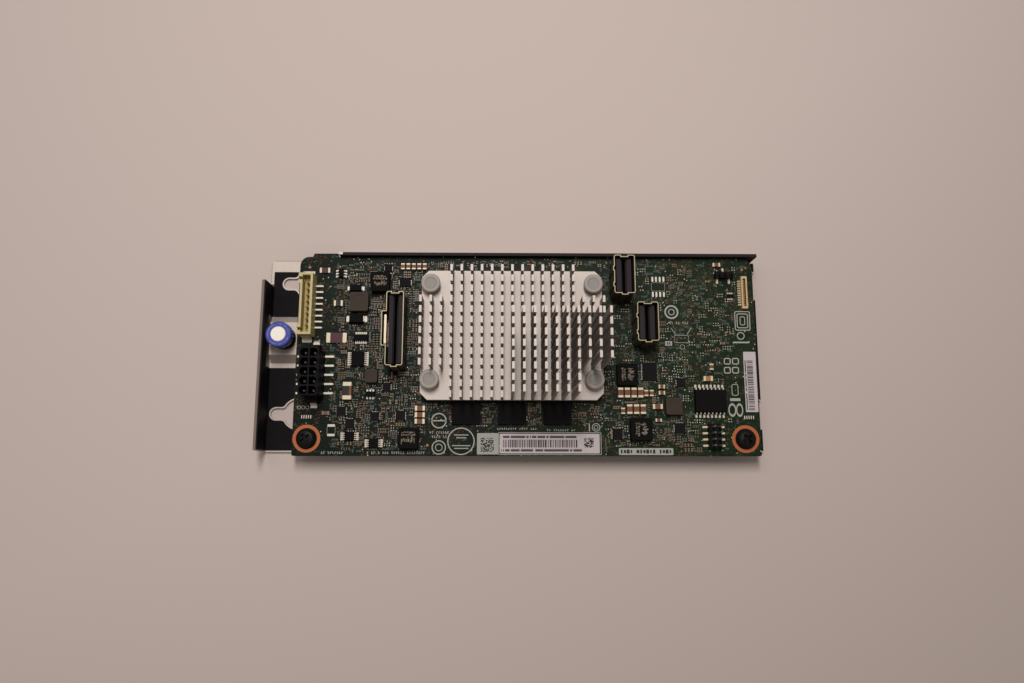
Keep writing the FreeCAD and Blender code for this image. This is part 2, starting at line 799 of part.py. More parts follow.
def socket_contacts(socket):
    x, half_width, half_length = socket_sizes(socket)
    count = socket["contact_count"]
    bottom = face + socket_height - housing_recess - slot_depth
    half_slot = socket_slot / 2
    made = []
    for i in range(count):
        y = socket["y"] + (i - (count - 1) / 2) * contact_pitch
        for side in (-1, 1):
            xc = x + side * (half_slot - contact_depth / 2)
            made.append(slab(xc, y, bottom, (contact_depth, contact_width, contact_height)))
    return group(made)


def long_socket_latch():
    """Folded spring strip that stands in the pocket, with a lip turned in at its top."""
    wide, deep, high = latch_strip
    x = long_socket_place[0] - long_socket["width"] / 2 - long_socket["pocket"] / 2 + shell_wall + 0.1
    t = 0.3
    profile = [(0, 0), (wide, 0), (wide, t), (t, t), (t, high - t), (wide, high - t), (wide, high), (0, high)]
    start = V(x - wide / 2, long_socket_place[1] - deep / 2, face)
    return swept_profile([(u, 0, v) for u, v in profile], start,
                         V(0, deep, 0))


def sockets():
    """The long socket on the left and the two short ones on the right."""
    return {"long": dict(long_socket, x=long_socket_place[0], y=long_socket_place[1]),
            "back": dict(short_socket, x=plate_right + back_socket_place[0], y=back_socket_place[1]),
            "front": dict(short_socket, x=plate_right + front_socket_place[0], y=front_socket_place[1])}


# ---------------------------------------------------------------- headers
def bent_pin(x, y, reach, size, foot, top):
    """Square pin: foot on the board out to x + reach, then upright at x."""
    h = size / 2
    end = x + reach
    low, high = min(x - h, end), max(x + h, end)
    return fuse([block(low, y - h, foot, high, y + h, foot + size),
                 block(x - h, y - h, foot, x + h, y + h, top)])


def nail(x, y, size, way):
    """Bent solder tab at the end of a header, pointing along way in Y."""
    wide, reach, thick = size
    profile = [(0, 0), (reach, 0), (reach, thick), (thick, thick), (thick, nail_rise), (0, nail_rise)]
    return swept_profile([(0, way * u, v) for u, v in profile], V(x - wide / 2, y, face), V(wide, 0, 0))


def signal_pin_places():
    first = signal_y - (signal_pin_count - 1) * signal_pitch / 2
    return [(signal_x, first + i * signal_pitch) for i in range(signal_pin_count)]


def signal_header_pins():
    return group(bent_pin(x, y, signal_lead_end - x, signal_pin, face, face + signal_height - 1.2)
                 for x, y in signal_pin_places())


def signal_half_length():
    return (signal_pin_count - 1) * signal_pitch / 2 + signal_end


def signal_header_housing():
    """Shrouded header: open top, and a stepped-out guide at each end of the left side."""
    x, y = signal_x, signal_y
    w, h = signal_width / 2, signal_half_length()
    top = face + signal_height
    s, e, t = signal_end_step, signal_end_length, signal_wall
    body = prism([(x - w - s, y - h, 0), (x + w, y - h, 0), (x + w, y + h, 0), (x - w - s, y + h, 0),
                  (x - w - s, y + h - e, 0), (x - w, y + h - e, 0), (x - w, y - h + e, 0),
                  (x - w - s, y - h + e, 0)], face, top)
    body = body.cut(block(x - w + t, y - h + t, face + 2.0, x + w - t, y + h - t, top + 1))
    for side in (-1, 1):
        y_slit = y + side * (h - t - 1.1)
        body = body.cut(block(x - w - s - 1, y_slit - 0.5, face + 2.6,
                              x - w + t + 0.1, y_slit + 0.5, top + 1))
    for px, py in signal_pin_places():
        body = body.cut(bent_pin(px, py, signal_lead_end - px, signal_pin, face, top))
    return body


def signal_header_nails():
    h = signal_half_length()
    return group([nail(signal_x - 0.4, signal_y + h, signal_nail, 1),
                  nail(signal_x - 0.4, signal_y - h, signal_nail, -1)])


def power_pin_places():
    first = power_y - (power_pin_count - 1) * power_pitch / 2
    return [(power_x + side * power_pitch / 2, first + i * power_pitch, side)
            for side in (-1, 1) for i in range(power_pin_count)]


def power_half_length():
    return power_pin_count * power_pitch / 2 + 0.1


def power_header_pins():
    return group(bent_pin(x, y, side * (power_lead_reach - power_pitch / 2), power_pin, face,
                          face + power_pin_height) for x, y, side in power_pin_places())


def power_header_housing():
    """Upright header with ten keyed cavities and a lug at each end for the solder tabs."""
    w, h = power_width / 2, power_half_length()
    top = face + power_height
    body = prism([(power_x - w, power_y - h, 0.6), (power_x + w, power_y - h, 0.6),
                  (power_x + w, power_y + h, 0.6), (power_x - w, power_y + h, 0.6)], face, top)
    lug_wide, lug_deep, lug_high = power_lug
    lugs = [slab(power_x, power_y + side * (h + lug_deep / 2 - 0.2), face,
                 (lug_wide, lug_deep + 0.4, lug_high)) for side in (-1, 1)]
    body = fuse([body] + lugs)
    latch = slab(power_x - w - 0.35, power_y, face + 5.6, (0.9, 3.4, 2.6))
    body = fuse([body, latch])
    c, k = power_cavity / 2, power_cavity_chamfer
    for x, y, side in power_pin_places():
        inner, outer = x - side * c, x + side * c
        cavity = prism([(inner, y - c, 0), (outer - side * k, y - c, 0), (outer, y - c + k, 0),
                        (outer, y + c - k, 0), (outer - side * k, y + c, 0), (inner, y + c, 0)],
                       face + power_floor, top + 1)
        body = body.cut(cavity)
        body = body.cut(bent_pin(x, y, side * (power_lead_reach - power_pitch / 2), power_pin, face, top))
    return body


def power_header_nails():
    h = power_half_length() + power_lug[1]
    return group([nail(power_x, power_y + h, power_nail, 1), nail(power_x, power_y - h, power_nail, -1)])


def pin_header_places():
    x, y = board_length - header_place[0], header_place[1]
    return [(x + side * header_pitch / 2, y + (i - (header_row_count - 1) / 2) * header_pitch, side)
            for side in (-1, 1) for i in range(header_row_count)]


def pin_header_pins():
    reach = header_lead_reach - header_pitch / 2
    return group(bent_pin(x, y, side * reach, header_pin, face, face + header_pin_height)
                 for x, y, side in pin_header_places())


def pin_header_body():
    x, y = board_length - header_place[0], header_place[1]
    length = header_row_count * header_pitch - 0.1
    body = slab(x, y, face + 0.3, (header_body_width, length, header_body_height))
    for px, py, side in pin_header_places():
        reach = header_lead_reach - header_pitch / 2
        body = body.cut(bent_pin(px, py, side * reach, header_pin, face, face + header_pin_height))
    return body


def jumper_places():
    x, y = board_length - jumper_place[0], jumper_place[1]
    first = x - (jumper_pin_count - 1) * header_pitch / 2
    return [(first + i * header_pitch, y, 1 if i % 2 else -1) for i in range(jumper_pin_count)]


def jumper_pin(x, y, way):
    pin = bent_pin(0, 0, jumper_lead_reach, header_pin, face, face + header_pin_height)
    pin.rotate(V(0, 0, 0), V(0, 0, 1), 90 * way)
    pin.translate(V(x, y, 0))
    return pin


def jumper_header_pins():
    return group(jumper_pin(x, y, way) for x, y, way in jumper_places())


def jumper_header_body():
    x, y = board_length - jumper_place[0], jumper_place[1]
    length = jumper_pin_count * header_pitch - 0.1
    body = slab(x, y, face + 0.3, (length, jumper_body_width, header_body_height))
    for px, py, way in jumper_places():
        body = body.cut(jumper_pin(px, py, way))
    return body


def cable_contact_places():
    x, y = board_length - cable_place[0], cable_place[1]
    return [(x, y + (i - (cable_contact_count - 1) / 2) * cable_pitch) for i in range(cable_contact_count)]


def cable_connector_contacts():
    wide, thick = cable_contact
    made = []
    for x, y in cable_contact_places():
        foot = block(x - cable_lead_reach, y - wide / 2, face, x + 0.1, y + wide / 2, face + thick)
        blade = block(x - 0.15, y - wide / 2, face, x + 0.1, y + wide / 2, face + cable_body[2] - 0.5)
        made.append(fuse([foot, blade]))
    return group(made)


def cable_connector_body():
    x, y = board_length - cable_place[0], cable_place[1]
    wide, deep, high = cable_slot
    body = slab(x, y, face, cable_body, 0.2)
    body = body.cut(slab(x, y, face + cable_body[2] - high, (wide, deep, high + 1)))
    contact_wide, thick = cable_contact
    for cx, cy in cable_contact_places():
        y0, y1 = cy - contact_wide / 2, cy + contact_wide / 2
        body = body.cut(block(cx - cable_lead_reach, y0, face, cx + 0.1, y1, face + thick))
        body = body.cut(block(cx - 0.15, y0, face, cx + 0.1, y1, face + cable_body[2] - 0.5))
    return body


# ---------------------------------------------------------------- packaged chips
def gull_lead(x, y, reach, width, rise, way):
    """Gull-wing lead from a body's side at x, y: shoulder at height rise, foot out to reach along way."""
    t = 0.2
    profile = [(0, rise), (reach * 0.35, rise), (reach * 0.55, t), (reach, t), (reach, 0),
               (reach * 0.45, 0), (reach * 0.25, rise - t), (0, rise - t)]
    points = [(way * u, 0, v) for u, v in profile]
    return swept_profile(points, V(x, y - width / 2, face), V(0, width, 0))


def gull_rows(x, y, body, span, leads, pitch, width, turned_90):
    """Two rows of leads beside a body (wide, deep, high), along Y, or along X when turned."""
    wide = body[1] if turned_90 else body[0]
    reach = (span - wide) / 2
    made = []
    for i in range(leads):
        offset = (i - (leads - 1) / 2) * pitch
        for way in (-1, 1):
            lead = gull_lead(way * wide / 2, offset, reach, width, body[2] * 0.45, way)
            if turned_90:
                lead.rotate(V(0, 0, 0), V(0, 0, 1), 90)
            lead.translate(V(x, y, 0))
            made.append(lead)
    return made


def moulded_body(x, y, body, lift=0.1):
    """Epoxy body with drafted sides, widest at its parting line."""
    wide, deep, high = body
    draft = 0.06 * high + 0.04
    levels = ((face + lift, draft), (face + high * 0.5, 0.0), (face + high, draft))
    rings = []
    for z, inset in levels:
        a, b = wide / 2 - inset, deep / 2 - inset
        rings.append(outline([(x - a, y - b, 0), (x + a, y - b, 0), (x + a, y + b, 0), (x - a, y + b, 0)], z))
    return Part.makeLoft(rings, True, True)


def flash_chip():
    return moulded_body(plate_right + flash_place[0], flash_place[1], flash_body)


def flash_chip_leads():
    return group(gull_rows(plate_right + flash_place[0], flash_place[1], flash_body, flash_span,
                           flash_lead_count,
                           flash_pitch, flash_lead_width, True))


# x, y, (wide, deep, high), lead span, leads a side, pitch, lead width, rows along X
small_outline = [
    (20.3, 31.4, (4.3, 4.9, 1.1), 6.6, 7, 0.65, 0.26, False),
    (21.0, 38.4, (4.8, 2.2, 1.1), 3.6, 6, 0.65, 0.26, True),
    (18.4, 6.2, (3.1, 2.9, 1.1), 5.6, 4, 0.65, 0.3, False),
    (26.2, 4.0, (3.1, 2.9, 1.1), 5.6, 4, 0.65, 0.3, False),
    (13.8, 60.1, (1.7, 2.9, 1.1), 3.4, 3, 0.95, 0.36, False),
    (24.6, 19.8, (3.0, 1.7, 1.1), 2.9, 3, 0.95, 0.36, True),
    (board_length - 7.9, 52.95, (2.0, 1.3, 0.9), 2.2, 3, 0.65, 0.26, True),
]


def small_outline_chips():
    return group(moulded_body(x, y, body) for x, y, body, *rest in small_outline)


def small_outline_leads():
    made = []
    for x, y, body, span, leads, pitch, width, turned_90 in small_outline:
        made += gull_rows(x, y, body, span, leads, pitch, width, turned_90)
    return group(made)


# x, y, wide, deep; all flat no-lead packages share one height
flat_chip_height = 0.9
flat_chip_sizes = [
    (15.5, 14.3, 2.9, 3.0), (18.4, 10.3, 2.9, 3.0), (26.3, 12.6, 2.9, 2.9), (34.6, 12.9, 3.0, 3.2),
    (29.9, 22.1, 2.6, 3.0), (29.4, 62.05, 2.4, 2.5), (35.1, 57.15, 3.7, 2.9),
    (plate_right + 15.73, 27.4, 4.8, 6.1), (plate_right + 4.73, 7.0, 3.3, 3.7),
    (plate_right + 25.03, 8.9, 3.4, 3.4), (plate_right + 25.93, 23.8, 2.9, 2.9),
]


def flat_chips():
    return group(slab(x, y, face, (wide, deep, flat_chip_height)) for x, y, wide, deep in flat_chip_sizes)


# ---------------------------------------------------------------- coils, capacitors, resistors, diodes
moulded_coil_height = 3.0
moulded_coils = [
    (27.1, 56.85, 6.2, 6.5), (37.5, 5.6, 6.2, 6.5),
    (plate_right + 8.13, 26.2, 6.7, 7.0), (plate_right + 12.23, 8.5, 6.9, 7.1),
]
ferrite_coil_height = 2.8
ferrite_coils = [
    (20.4, 50.1, 6.0, 6.3), (25.1, 25.5, 3.9, 4.2), (plate_right + 22.93, 15.9, 5.2, 5.4),
]


def power_coils():
    return group(slab(x, y, face, (wide, deep, moulded_coil_height), 0.5)
                 for x, y, wide, deep in moulded_coils)


def wound_coils():
    """Ferrite coils: a drum in a square collar, with its corners cut."""
    made = []
    for x, y, wide, deep in ferrite_coils:
        made.append(slab(x, y, face, (wide, deep, ferrite_coil_height), 0.7).cut(
            cylinder(x, y, min(wide, deep) * 0.78, face + ferrite_coil_height - 0.15, face + 5)))
    return group(made)


# x, y, wide, deep, high: ceramic chip capacitors
capacitor_rows = (
    [(34.3 + 1.81 * i, 62.5, 1.25, 2.0, 1.25) for i in range(5)]
    + [(40.9, 15.2 - 2.1 * i, 3.2, 1.6, 1.2) for i in range(3)]
    + [(plate_right + 5.93 + 2.17 * i, 20.4, 1.7, 3.2, 1.6) for i in range(4)]
    + [(plate_right + 14.33 + 1.8 * i, 20.3, 1.25, 2.0, 1.1) for i in range(2)]
    + [(plate_right + 8.73 + 2.2 * i, 15.0, 1.7, 3.1, 1.6) for i in range(3)]
    + [(plate_right + 6.63, 14.5, 1.25, 2.0, 1.1), (plate_right + 19.43, 22.4, 2.0, 1.25, 1.1),
       (plate_right + 19.43, 20.4, 2.0, 1.25, 1.1), (plate_right + 17.93, 15.9, 3.2, 1.6, 1.2),
       (plate_right + 18.13, 11.5, 2.0, 1.0, 0.9), (board_length - 15.3, 29.0, 1.25, 2.0, 1.0),
       (board_length - 16.6, 25.1, 3.0, 1.6, 1.1), (board_length - 12.2, 63.55, 2.5, 1.25, 1.1),
       (17.3, 20.8, 2.9, 5.7, 1.7), (13.3, 49.9, 2.9, 1.9, 1.0)]
)


def chip_capacitors():
    return group(slab(x, y, face, (wide, deep, high)) for x, y, wide, deep, high in capacitor_rows)


def sense_resistors():
    return group([slab(13.1, 38.3, face, (6.6, 3.3, 0.8)),
                  slab(8.4, 61.15, face, (3.4, 1.7, 0.7))])


# x, y, body wide, deep, high, overall length over the leads
diode_places = [(18.8, 55.05, 4.0, 2.0, 1.4, 5.4), (19.4, 44.7, 4.6, 3.0, 2.0, 6.6)]


def diodes():
    made = []
    for x, y, wide, deep, high, span in diode_places:
        made.append(moulded_body(x, y, (wide, deep, high)))
    return group(made)


def diode_leads():
    """Folded strip leads at each end of a diode."""
    made = []
    for x, y, wide, deep, high, span in diode_places:
        for way in (-1, 1):
            profile = [(wide / 2, 0), (span / 2, 0), (span / 2, 0.2), (wide / 2 + 0.25, 0.2),
                       (wide / 2 + 0.25, high * 0.55), (wide / 2, high * 0.55)]
            points = [(way * u, 0, v) for u, v in profile]
            made.append(swept_profile(points, V(x, y - deep * 0.3, face), V(0, deep * 0.6, 0)))
    return group(made)


# ---------------------------------------------------------------- labels
def label(x, y, wide, deep):
    return slab(x, y, face, (wide, deep, label_thickness), 0.3)


def main():
    placed = sockets()
    pieces = {
        "tray": tray(),
        "insulating_film": insulating_film(),
        "standoffs": standoffs(),
        "circuit_board": circuit_board(),
        "board_screws": board_screws(),
        "heat_sink": heat_sink(),
        "push_pins": push_pins(),
        "push_pin_springs": push_pin_springs(),
        "controller_substrate": controller_substrate_chip(),
        "controller_lid": controller_lid(),
        "thermal_pad": thermal_pad(),
        "memory_chips": memory_chips(),
        "signal_header_housing": signal_header_housing(),
        "signal_header_pins": signal_header_pins(),
        "signal_header_nails": signal_header_nails(),
        "power_header_housing": power_header_housing(),
        "power_header_pins": power_header_pins(),
        "power_header_nails": power_header_nails(),
        "pin_header_body": pin_header_body(),
        "pin_header_pins": pin_header_pins(),
        "jumper_header_body": jumper_header_body(),
        "jumper_header_pins": jumper_header_pins(),
        "cable_connector_body": cable_connector_body(),
        "cable_connector_contacts": cable_connector_contacts(),
        "flash_chip": flash_chip(),
        "flash_chip_leads": flash_chip_leads(),
        "small_outline_chips": small_outline_chips(),
        "small_outline_leads": small_outline_leads(),
        "flat_chips": flat_chips(),
        "power_coils": power_coils(),
        "wound_coils": wound_coils(),
        "chip_capacitors": chip_capacitors(),
        "sense_resistors": sense_resistors(),
        "diodes": diodes(),
        "diode_leads": diode_leads(),
        "barcode_label": label(sink_x + barcode_label[0], *barcode_label[1:]),
        "square_label": label(sink_x + square_label[0], *square_label[1:]),
        "edge_label": label(board_length - edge_label[0], *edge_label[1:]),
        "plunger_ferrule": plunger_ferrule(),
        "plunger_spring": plunger_spring(),
        "plunger_pin": plunger_pin(),
        "plunger_knob": plunger_knob(),
    }
    for name, socket in placed.items():
        pieces[name + "_socket_shell"] = socket_shell(socket)
        pieces[name + "_socket_housing"] = socket_housing(socket)
        pieces[name + "_socket_contacts"] = socket_contacts(socket)
    pieces["long_socket_latch"] = long_socket_latch()
    os.makedirs("parts", exist_ok=True)
    for name, shape in pieces.items():
        shape.translate(middle * -1)
        shape.exportStep(os.path.join("parts", name + ".step"))
        print(f"{name:26s} solids {len(shape.Solids):3d}  valid {shape.isValid()}")


main()
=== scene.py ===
# %% [markdown]
# # A storage controller card on its steel tray
#
# The real object is a circuit board on a folded steel tray, with a pin-fin heat sink, shielded
# sockets and a blue lock knob. The CAD model already holds every shape with a real size. This
# lesson gives those shapes their finishes, and adds what is too small for CAD: chip parts of a
# millimetre, solder pads, copper rings, printed marks and the print on the labels.
#
# Its nodes stay put, and new pieces ride on it.

# %% Load the measured model
import random

import bpy
import numpy as np
from mathutils import Matrix, Vector


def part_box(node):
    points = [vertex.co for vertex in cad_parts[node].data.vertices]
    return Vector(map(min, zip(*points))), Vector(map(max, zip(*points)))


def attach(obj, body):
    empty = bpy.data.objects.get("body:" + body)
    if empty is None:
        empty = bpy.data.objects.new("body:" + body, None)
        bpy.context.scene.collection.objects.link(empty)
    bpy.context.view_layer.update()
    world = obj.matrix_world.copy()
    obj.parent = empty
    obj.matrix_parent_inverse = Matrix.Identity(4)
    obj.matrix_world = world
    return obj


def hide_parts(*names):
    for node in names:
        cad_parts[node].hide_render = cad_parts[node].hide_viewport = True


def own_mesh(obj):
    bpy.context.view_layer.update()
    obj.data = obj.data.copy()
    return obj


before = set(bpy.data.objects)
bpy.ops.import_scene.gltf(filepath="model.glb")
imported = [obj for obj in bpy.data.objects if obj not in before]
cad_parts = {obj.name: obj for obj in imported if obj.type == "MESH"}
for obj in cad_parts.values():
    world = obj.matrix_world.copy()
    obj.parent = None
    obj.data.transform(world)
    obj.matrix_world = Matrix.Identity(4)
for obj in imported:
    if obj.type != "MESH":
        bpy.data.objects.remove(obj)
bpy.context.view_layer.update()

mm = 0.001


def corners(node):
    """The low and the high corner of a CAD node's box, in metres."""
    return [Vector(corner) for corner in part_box(node)]


board_low, board_high = corners("circuit_board")
face = board_high.z
print("CAD nodes:", len(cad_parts), "board face at", round(face / mm, 2), "mm")

# %% [markdown]
# ## Writing materials as sums
#
# A finish is a small network of nodes. Linking dozens of them by hand hides the idea, so one
# class wraps a node's output and lets plain Python arithmetic add the Math nodes, and another
# makes any other node from its type, its settings and its inputs. All patterns read Object
# coordinates, turned into millimetres, so that a number in a pattern is a size on the card.

# %% Node outputs that can be added and multiplied
def operator(operation):
    """A method for Wire that adds one Math node, and its reflected form."""
    def method(self, other):
        return self.finish.math(operation, self, other)

    def reflected(self, other):
        return self.finish.math(operation, other, self)
    return method, reflected


class Wire:
    """One output of a material's nodes; arithmetic on it adds Math nodes."""

    def __init__(self, finish, socket):
        self.finish = finish
        self.socket = socket

    __add__, __radd__ = operator("ADD")
    __sub__, __rsub__ = operator("SUBTRACT")
    __mul__, __rmul__ = operator("MULTIPLY")
    __truediv__, __rtruediv__ = operator("DIVIDE")
    __gt__, __lt__ = operator("GREATER_THAN")[0], operator("LESS_THAN")[0]

    def floor(self):
        return self.finish.math("FLOOR", self)

    def within(self, low, high):
        return (self > low) * (self < high)


# %% A finish: one Principled shader and the nodes that feed it
def tone(red, green, blue):
    """A colour as screen values from 0 to 255, in the linear form that sockets take."""
    linear = [c / 12.92 if c <= 0.04045 else ((c + 0.055) / 1.055) ** 2.4
              for c in (red / 255, green / 255, blue / 255)]
    return (*linear, 1.0)


class Finish:
    """A material whose Principled shader takes constants, or outputs of its own nodes."""

    def __init__(self, name, color, roughness, metallic=0.0, gloss=0.5):
        self.material = bpy.data.materials.new(name)
        self.material.use_nodes = True
        self.tree = self.material.node_tree
        self.shader = self.tree.nodes["Principled BSDF"]
        self.feed("Base Color", color)
        self.feed("Roughness", roughness)
        self.feed("Metallic", metallic)
        self.feed("Specular IOR Level", gloss)

    def plug(self, value, socket):
        if isinstance(value, Wire):
            self.tree.links.new(value.socket, socket)
        else:
            socket.default_value = value

    def feed(self, socket, value):
        self.plug(value, self.shader.inputs[socket])

    def node(self, kind, settings=None, values=None, output=0):
        made = self.tree.nodes.new("ShaderNode" + kind)
        for name, value in (settings or {}).items():
            setattr(made, name, value)
        for place, value in (values or {}).items():
            self.plug(value, made.inputs[place])
        return Wire(self, made.outputs[output])

    def math(self, operation, *values):
        return self.node("Math", {"operation": operation}, dict(enumerate(values)))

    def place(self, stretch=(1, 1, 1)):
        """Where a point is, in millimetres, stretched along each axis."""
        at = self.node("TexCoord", output="Object")
        scale = tuple(s / mm for s in stretch)
        return self.node("VectorMath", {"operation": "MULTIPLY"}, {0: at, 1: scale})

    def axes(self):
        """Where a point is along X, Y and Z, in millimetres."""
        first = self.node("SeparateXYZ", None, {0: self.place()})
        return [Wire(self, out) for out in first.socket.node.outputs]

    def mix(self, factor, first, second):
        return self.node("Mix", {"data_type": "RGBA"}, {0: factor, 6: first, 7: second}, output=2)

    def noise(self, size, stretch=(1, 1, 1), detail=2.0):
        """Soft noise from about 0 to 1, with blotches of about that size in millimetres."""
        return self.node("TexNoise", None, {"Vector": self.place(stretch), "Scale": 1 / size,
                                            "Detail": detail})

    def cell(self, u, v=0.0):
        """A different number from 0 to 1 in each whole step of u and v."""
        corner = self.node("CombineXYZ", None, {0: u, 1: v})
        return self.node("TexWhiteNoise", None, {"Vector": corner})

    def bump(self, height, depth, strength=1.0):
        self.feed("Normal", self.node("Bump", None, {"Height": height, "Strength": strength,
                                                     "Distance": depth * mm}))


def wear(node, finish):
    """Gives a CAD node this finish in place of its plain one."""
    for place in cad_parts[node].material_slots:
        place.material = finish.material
    print(finish.material.name, "on", node)


# %% [markdown]
# ## The tray's zinc-plated steel
#
# Rolled and plated sheet has a fine grain along one way and dulls unevenly. Noise that is
# stretched along the grain and fed to roughness and bump gives the first, and broad noise in the
# colour the second. Where the sheet was cut, its edge is duller and darker, and a thin dark line
# along the corner tab's edges is painted shade.

# %% Zinc-plated steel
grain_size, grain_stretch, blotch_size = 0.25, (1, 0.04, 0.2), 6.0


def plated(name, dark, light):
    """A finish of plated sheet, with the noise of its grain and its blotched colour."""
    made = Finish(name, tone(176, 164, 154), 0.45, 0.35)
    grain = made.noise(grain_size, grain_stretch, 3.0)
    made.bump(grain, 0.01, 0.3)
    return made, grain, made.mix(made.noise(blotch_size), dark, light)


zinc, grain, sheet_tone = plated("zinc_plate", tone(166, 154, 145), tone(186, 174, 164))
zinc.feed("Base Color", sheet_tone)
zinc.feed("Roughness", 0.4 + grain * 0.22)
wear("standoffs", zinc)

# %% The same steel with dull cut edges and a painted shade line round the corner tab, for the tray
left_wall_top = 10.95           # only the cut top edge of the left wall is above this
floor_top = 1.3                 # the tray's floor is below this
tab_width = 14.0                # the bare corner tab shows this far from its left edge
shade_line_width = 0.22                 # width of a painted shade line along the corner tab's cut edge
tray_steel, grain, sheet_tone = plated("tray_steel", tone(164, 152, 143), tone(184, 172, 162))
x, y, z = tray_steel.axes()
floor_points = [v.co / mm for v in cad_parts["tray"].data.vertices if v.co.z < 1.2 * mm]
tab_left = min(p.x for p in floor_points if p.y > 26)
tab_back = max(p.y for p in floor_points if p.x < tab_left + 6)
# the corner tab's back and left edges get a thin dark line: painted shade
at_edge = (y > tab_back - shade_line_width) + (x < tab_left + shade_line_width) * (y > 24)
outline = (z < floor_top) * (x < tab_left + tab_width) * at_edge
cut_edge_and_shade = (z > left_wall_top) + outline * 0.6
tray_steel.feed("Base Color", tray_steel.mix(cut_edge_and_shade, sheet_tone, tone(112, 98, 90)))
tray_steel.feed("Roughness", 0.4 + grain * 0.22 + cut_edge_and_shade * 0.2)
wear("tray", tray_steel)

# %% [markdown]
# ## The insulating film
#
# The film between tray and board is a near-black plastic sheet with a soft sheen. It is almost
# featureless: a little noise in the roughness keeps the sheen from looking drawn.

# %% Black film
film = Finish("black_film", tone(16, 14, 15), 0.6, gloss=0.07)
film.feed("Roughness", 0.52 + film.noise(3.0) * 0.2)
wear("insulating_film", film)

# %% [markdown]
# ## The circuit board
#
# Solder mask is a dark green glaze over copper. Where copper lies under it the green is a touch
# lighter, and plated holes show as tiny pale dots. Straight runs come from cells: the board is
# cut into narrow strips along X and Y, and a different number in each strip decides whether a
# track runs there. One Voronoi pattern places the holes, each one round its own cell's centre,
# and a finer one places bare rust-coloured pads. Small cells in broken rows pass for faint print.

# %% Solder mask and tracks
track_pitch = 0.3
run_along_x, run_along_y = 4.7, 3.9     # how far a track goes before it may stop
mask = Finish("solder_mask", tone(24, 40, 28), 0.5, gloss=0.08)
x, y, z = mask.axes()
on_face = z > face / mm - 0.1
patch = mask.noise(2.2, detail=0.0) > 0.5
along_x = mask.cell((x / run_along_x).floor(), (y / track_pitch).floor()) > 0.6
along_y = mask.cell((x / track_pitch).floor(), (y / run_along_y).floor()) > 0.6
tracks = patch * along_x + (1 - patch) * along_y
to_the_right = (x + 15) / 70            # the right end of the board is a little lighter
base = mask.mix(to_the_right, tone(8, 16, 10), tone(18, 29, 16))
track_tone = mask.mix(to_the_right, tone(17, 29, 18), tone(31, 44, 25))
green = mask.mix(tracks * 0.6, base, track_tone)
pour = mask.noise(9.0, detail=1.0) > 0.6
green = mask.mix(pour * 0.5, green, track_tone)
print("solder mask and its tracks")

# %% Holes, rust-coloured pads and faint print in the mask
holes = mask.node("TexVoronoi", None, {"Vector": mask.place((1, 1, 0)), "Scale": 0.75,
                                       "Randomness": 0.85})
dots = (holes < 0.15) * (mask.noise(7.0, detail=2.0) > 0.5) * on_face
pads = mask.node("TexVoronoi", None, {"Vector": mask.place((1, 1.4, 0)), "Scale": 1.3})
rust = (pads < 0.3) * (mask.noise(4.5, detail=1.0) > 0.54) * on_face
letter_wide, letter_tall = 0.24, 0.55
words = (mask.cell((x / letter_wide).floor(), (y / letter_tall).floor()) > 0.72) * on_face
words = words * (mask.noise(2.4, (1, 2, 1), 1.0) > 0.64)
green = mask.mix(words, green, tone(66, 78, 66))
green = mask.mix(rust, green, tone(92, 58, 34))
mask.feed("Base Color", mask.mix(dots, green, tone(176, 170, 150)))
mask.feed("Roughness", 0.48 + tracks * 0.06)
mask.bump(tracks, 0.02, 0.4)
wear("circuit_board", mask)
wear("controller_substrate", mask)

# %% [markdown]
# ## The heat sink
#
# An extruded aluminium plate, sawn into fins across its length, is left bare. It is bright and
# slightly satin, with saw lines down the fins, so the grain runs along Z and Y. The sides of the
# fins are painted darker than the flats as shade; the flats are found as the levels of the faces
# that look up.

# %% Bare extruded aluminium
aluminium = Finish("bare_aluminium", tone(189, 176, 167), 0.5, 0.12, gloss=0.3)
saw = aluminium.noise(0.22, (1, 0.08, 0.3), 2.0)
aluminium.feed("Roughness", 0.42 + saw * 0.2)
flats = sorted({round(f.center.z / mm, 1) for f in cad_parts["heat_sink"].data.polygons
                if f.normal.z > 0.95})
x, y, z = aluminium.axes()
on_flat = 0.0
for height in flats:
    on_flat = on_flat + z.within(height - 0.12, height + 0.12)
# the fins' sides get a darker tone than the flats: painted shade
shaded_side_tone = aluminium.mix(saw, tone(124, 113, 106), tone(144, 132, 124))
flat_tone = aluminium.mix(saw, tone(179, 166, 157), tone(198, 186, 177))
aluminium.feed("Base Color", aluminium.mix(on_flat, shaded_side_tone, flat_tone))
aluminium.bump(saw, 0.02, 0.3)
wear("heat_sink", aluminium)
print("heat sink flats at", flats, "mm")

# %% [markdown]
# ## Plastics, metals and mouldings
#
# The rest are plain finishes. Each gets its own small unevenness, because a constant roughness
# looks like a computer's. A helper makes such a finish from a colour and a roughness.

# %% Plain finishes and where they go
def plain(name, color, roughness, metallic=0.0, uneven=0.08, size=1.5, shade=0.9, gloss=0.3,
          nodes=""):
    """One colour that darkens to a share of itself, and a roughness that varies a little."""
    made = Finish(name, color, roughness, metallic, gloss)
    spread = made.noise(size, detail=3.0)
    dark = (*(c * shade for c in color[:3]), 1.0)
    made.feed("Roughness", spread * uneven + (roughness - uneven / 2))
    made.feed("Base Color", made.mix(spread, dark, color))
    for node in nodes.split():
        wear(node, made)
    return made


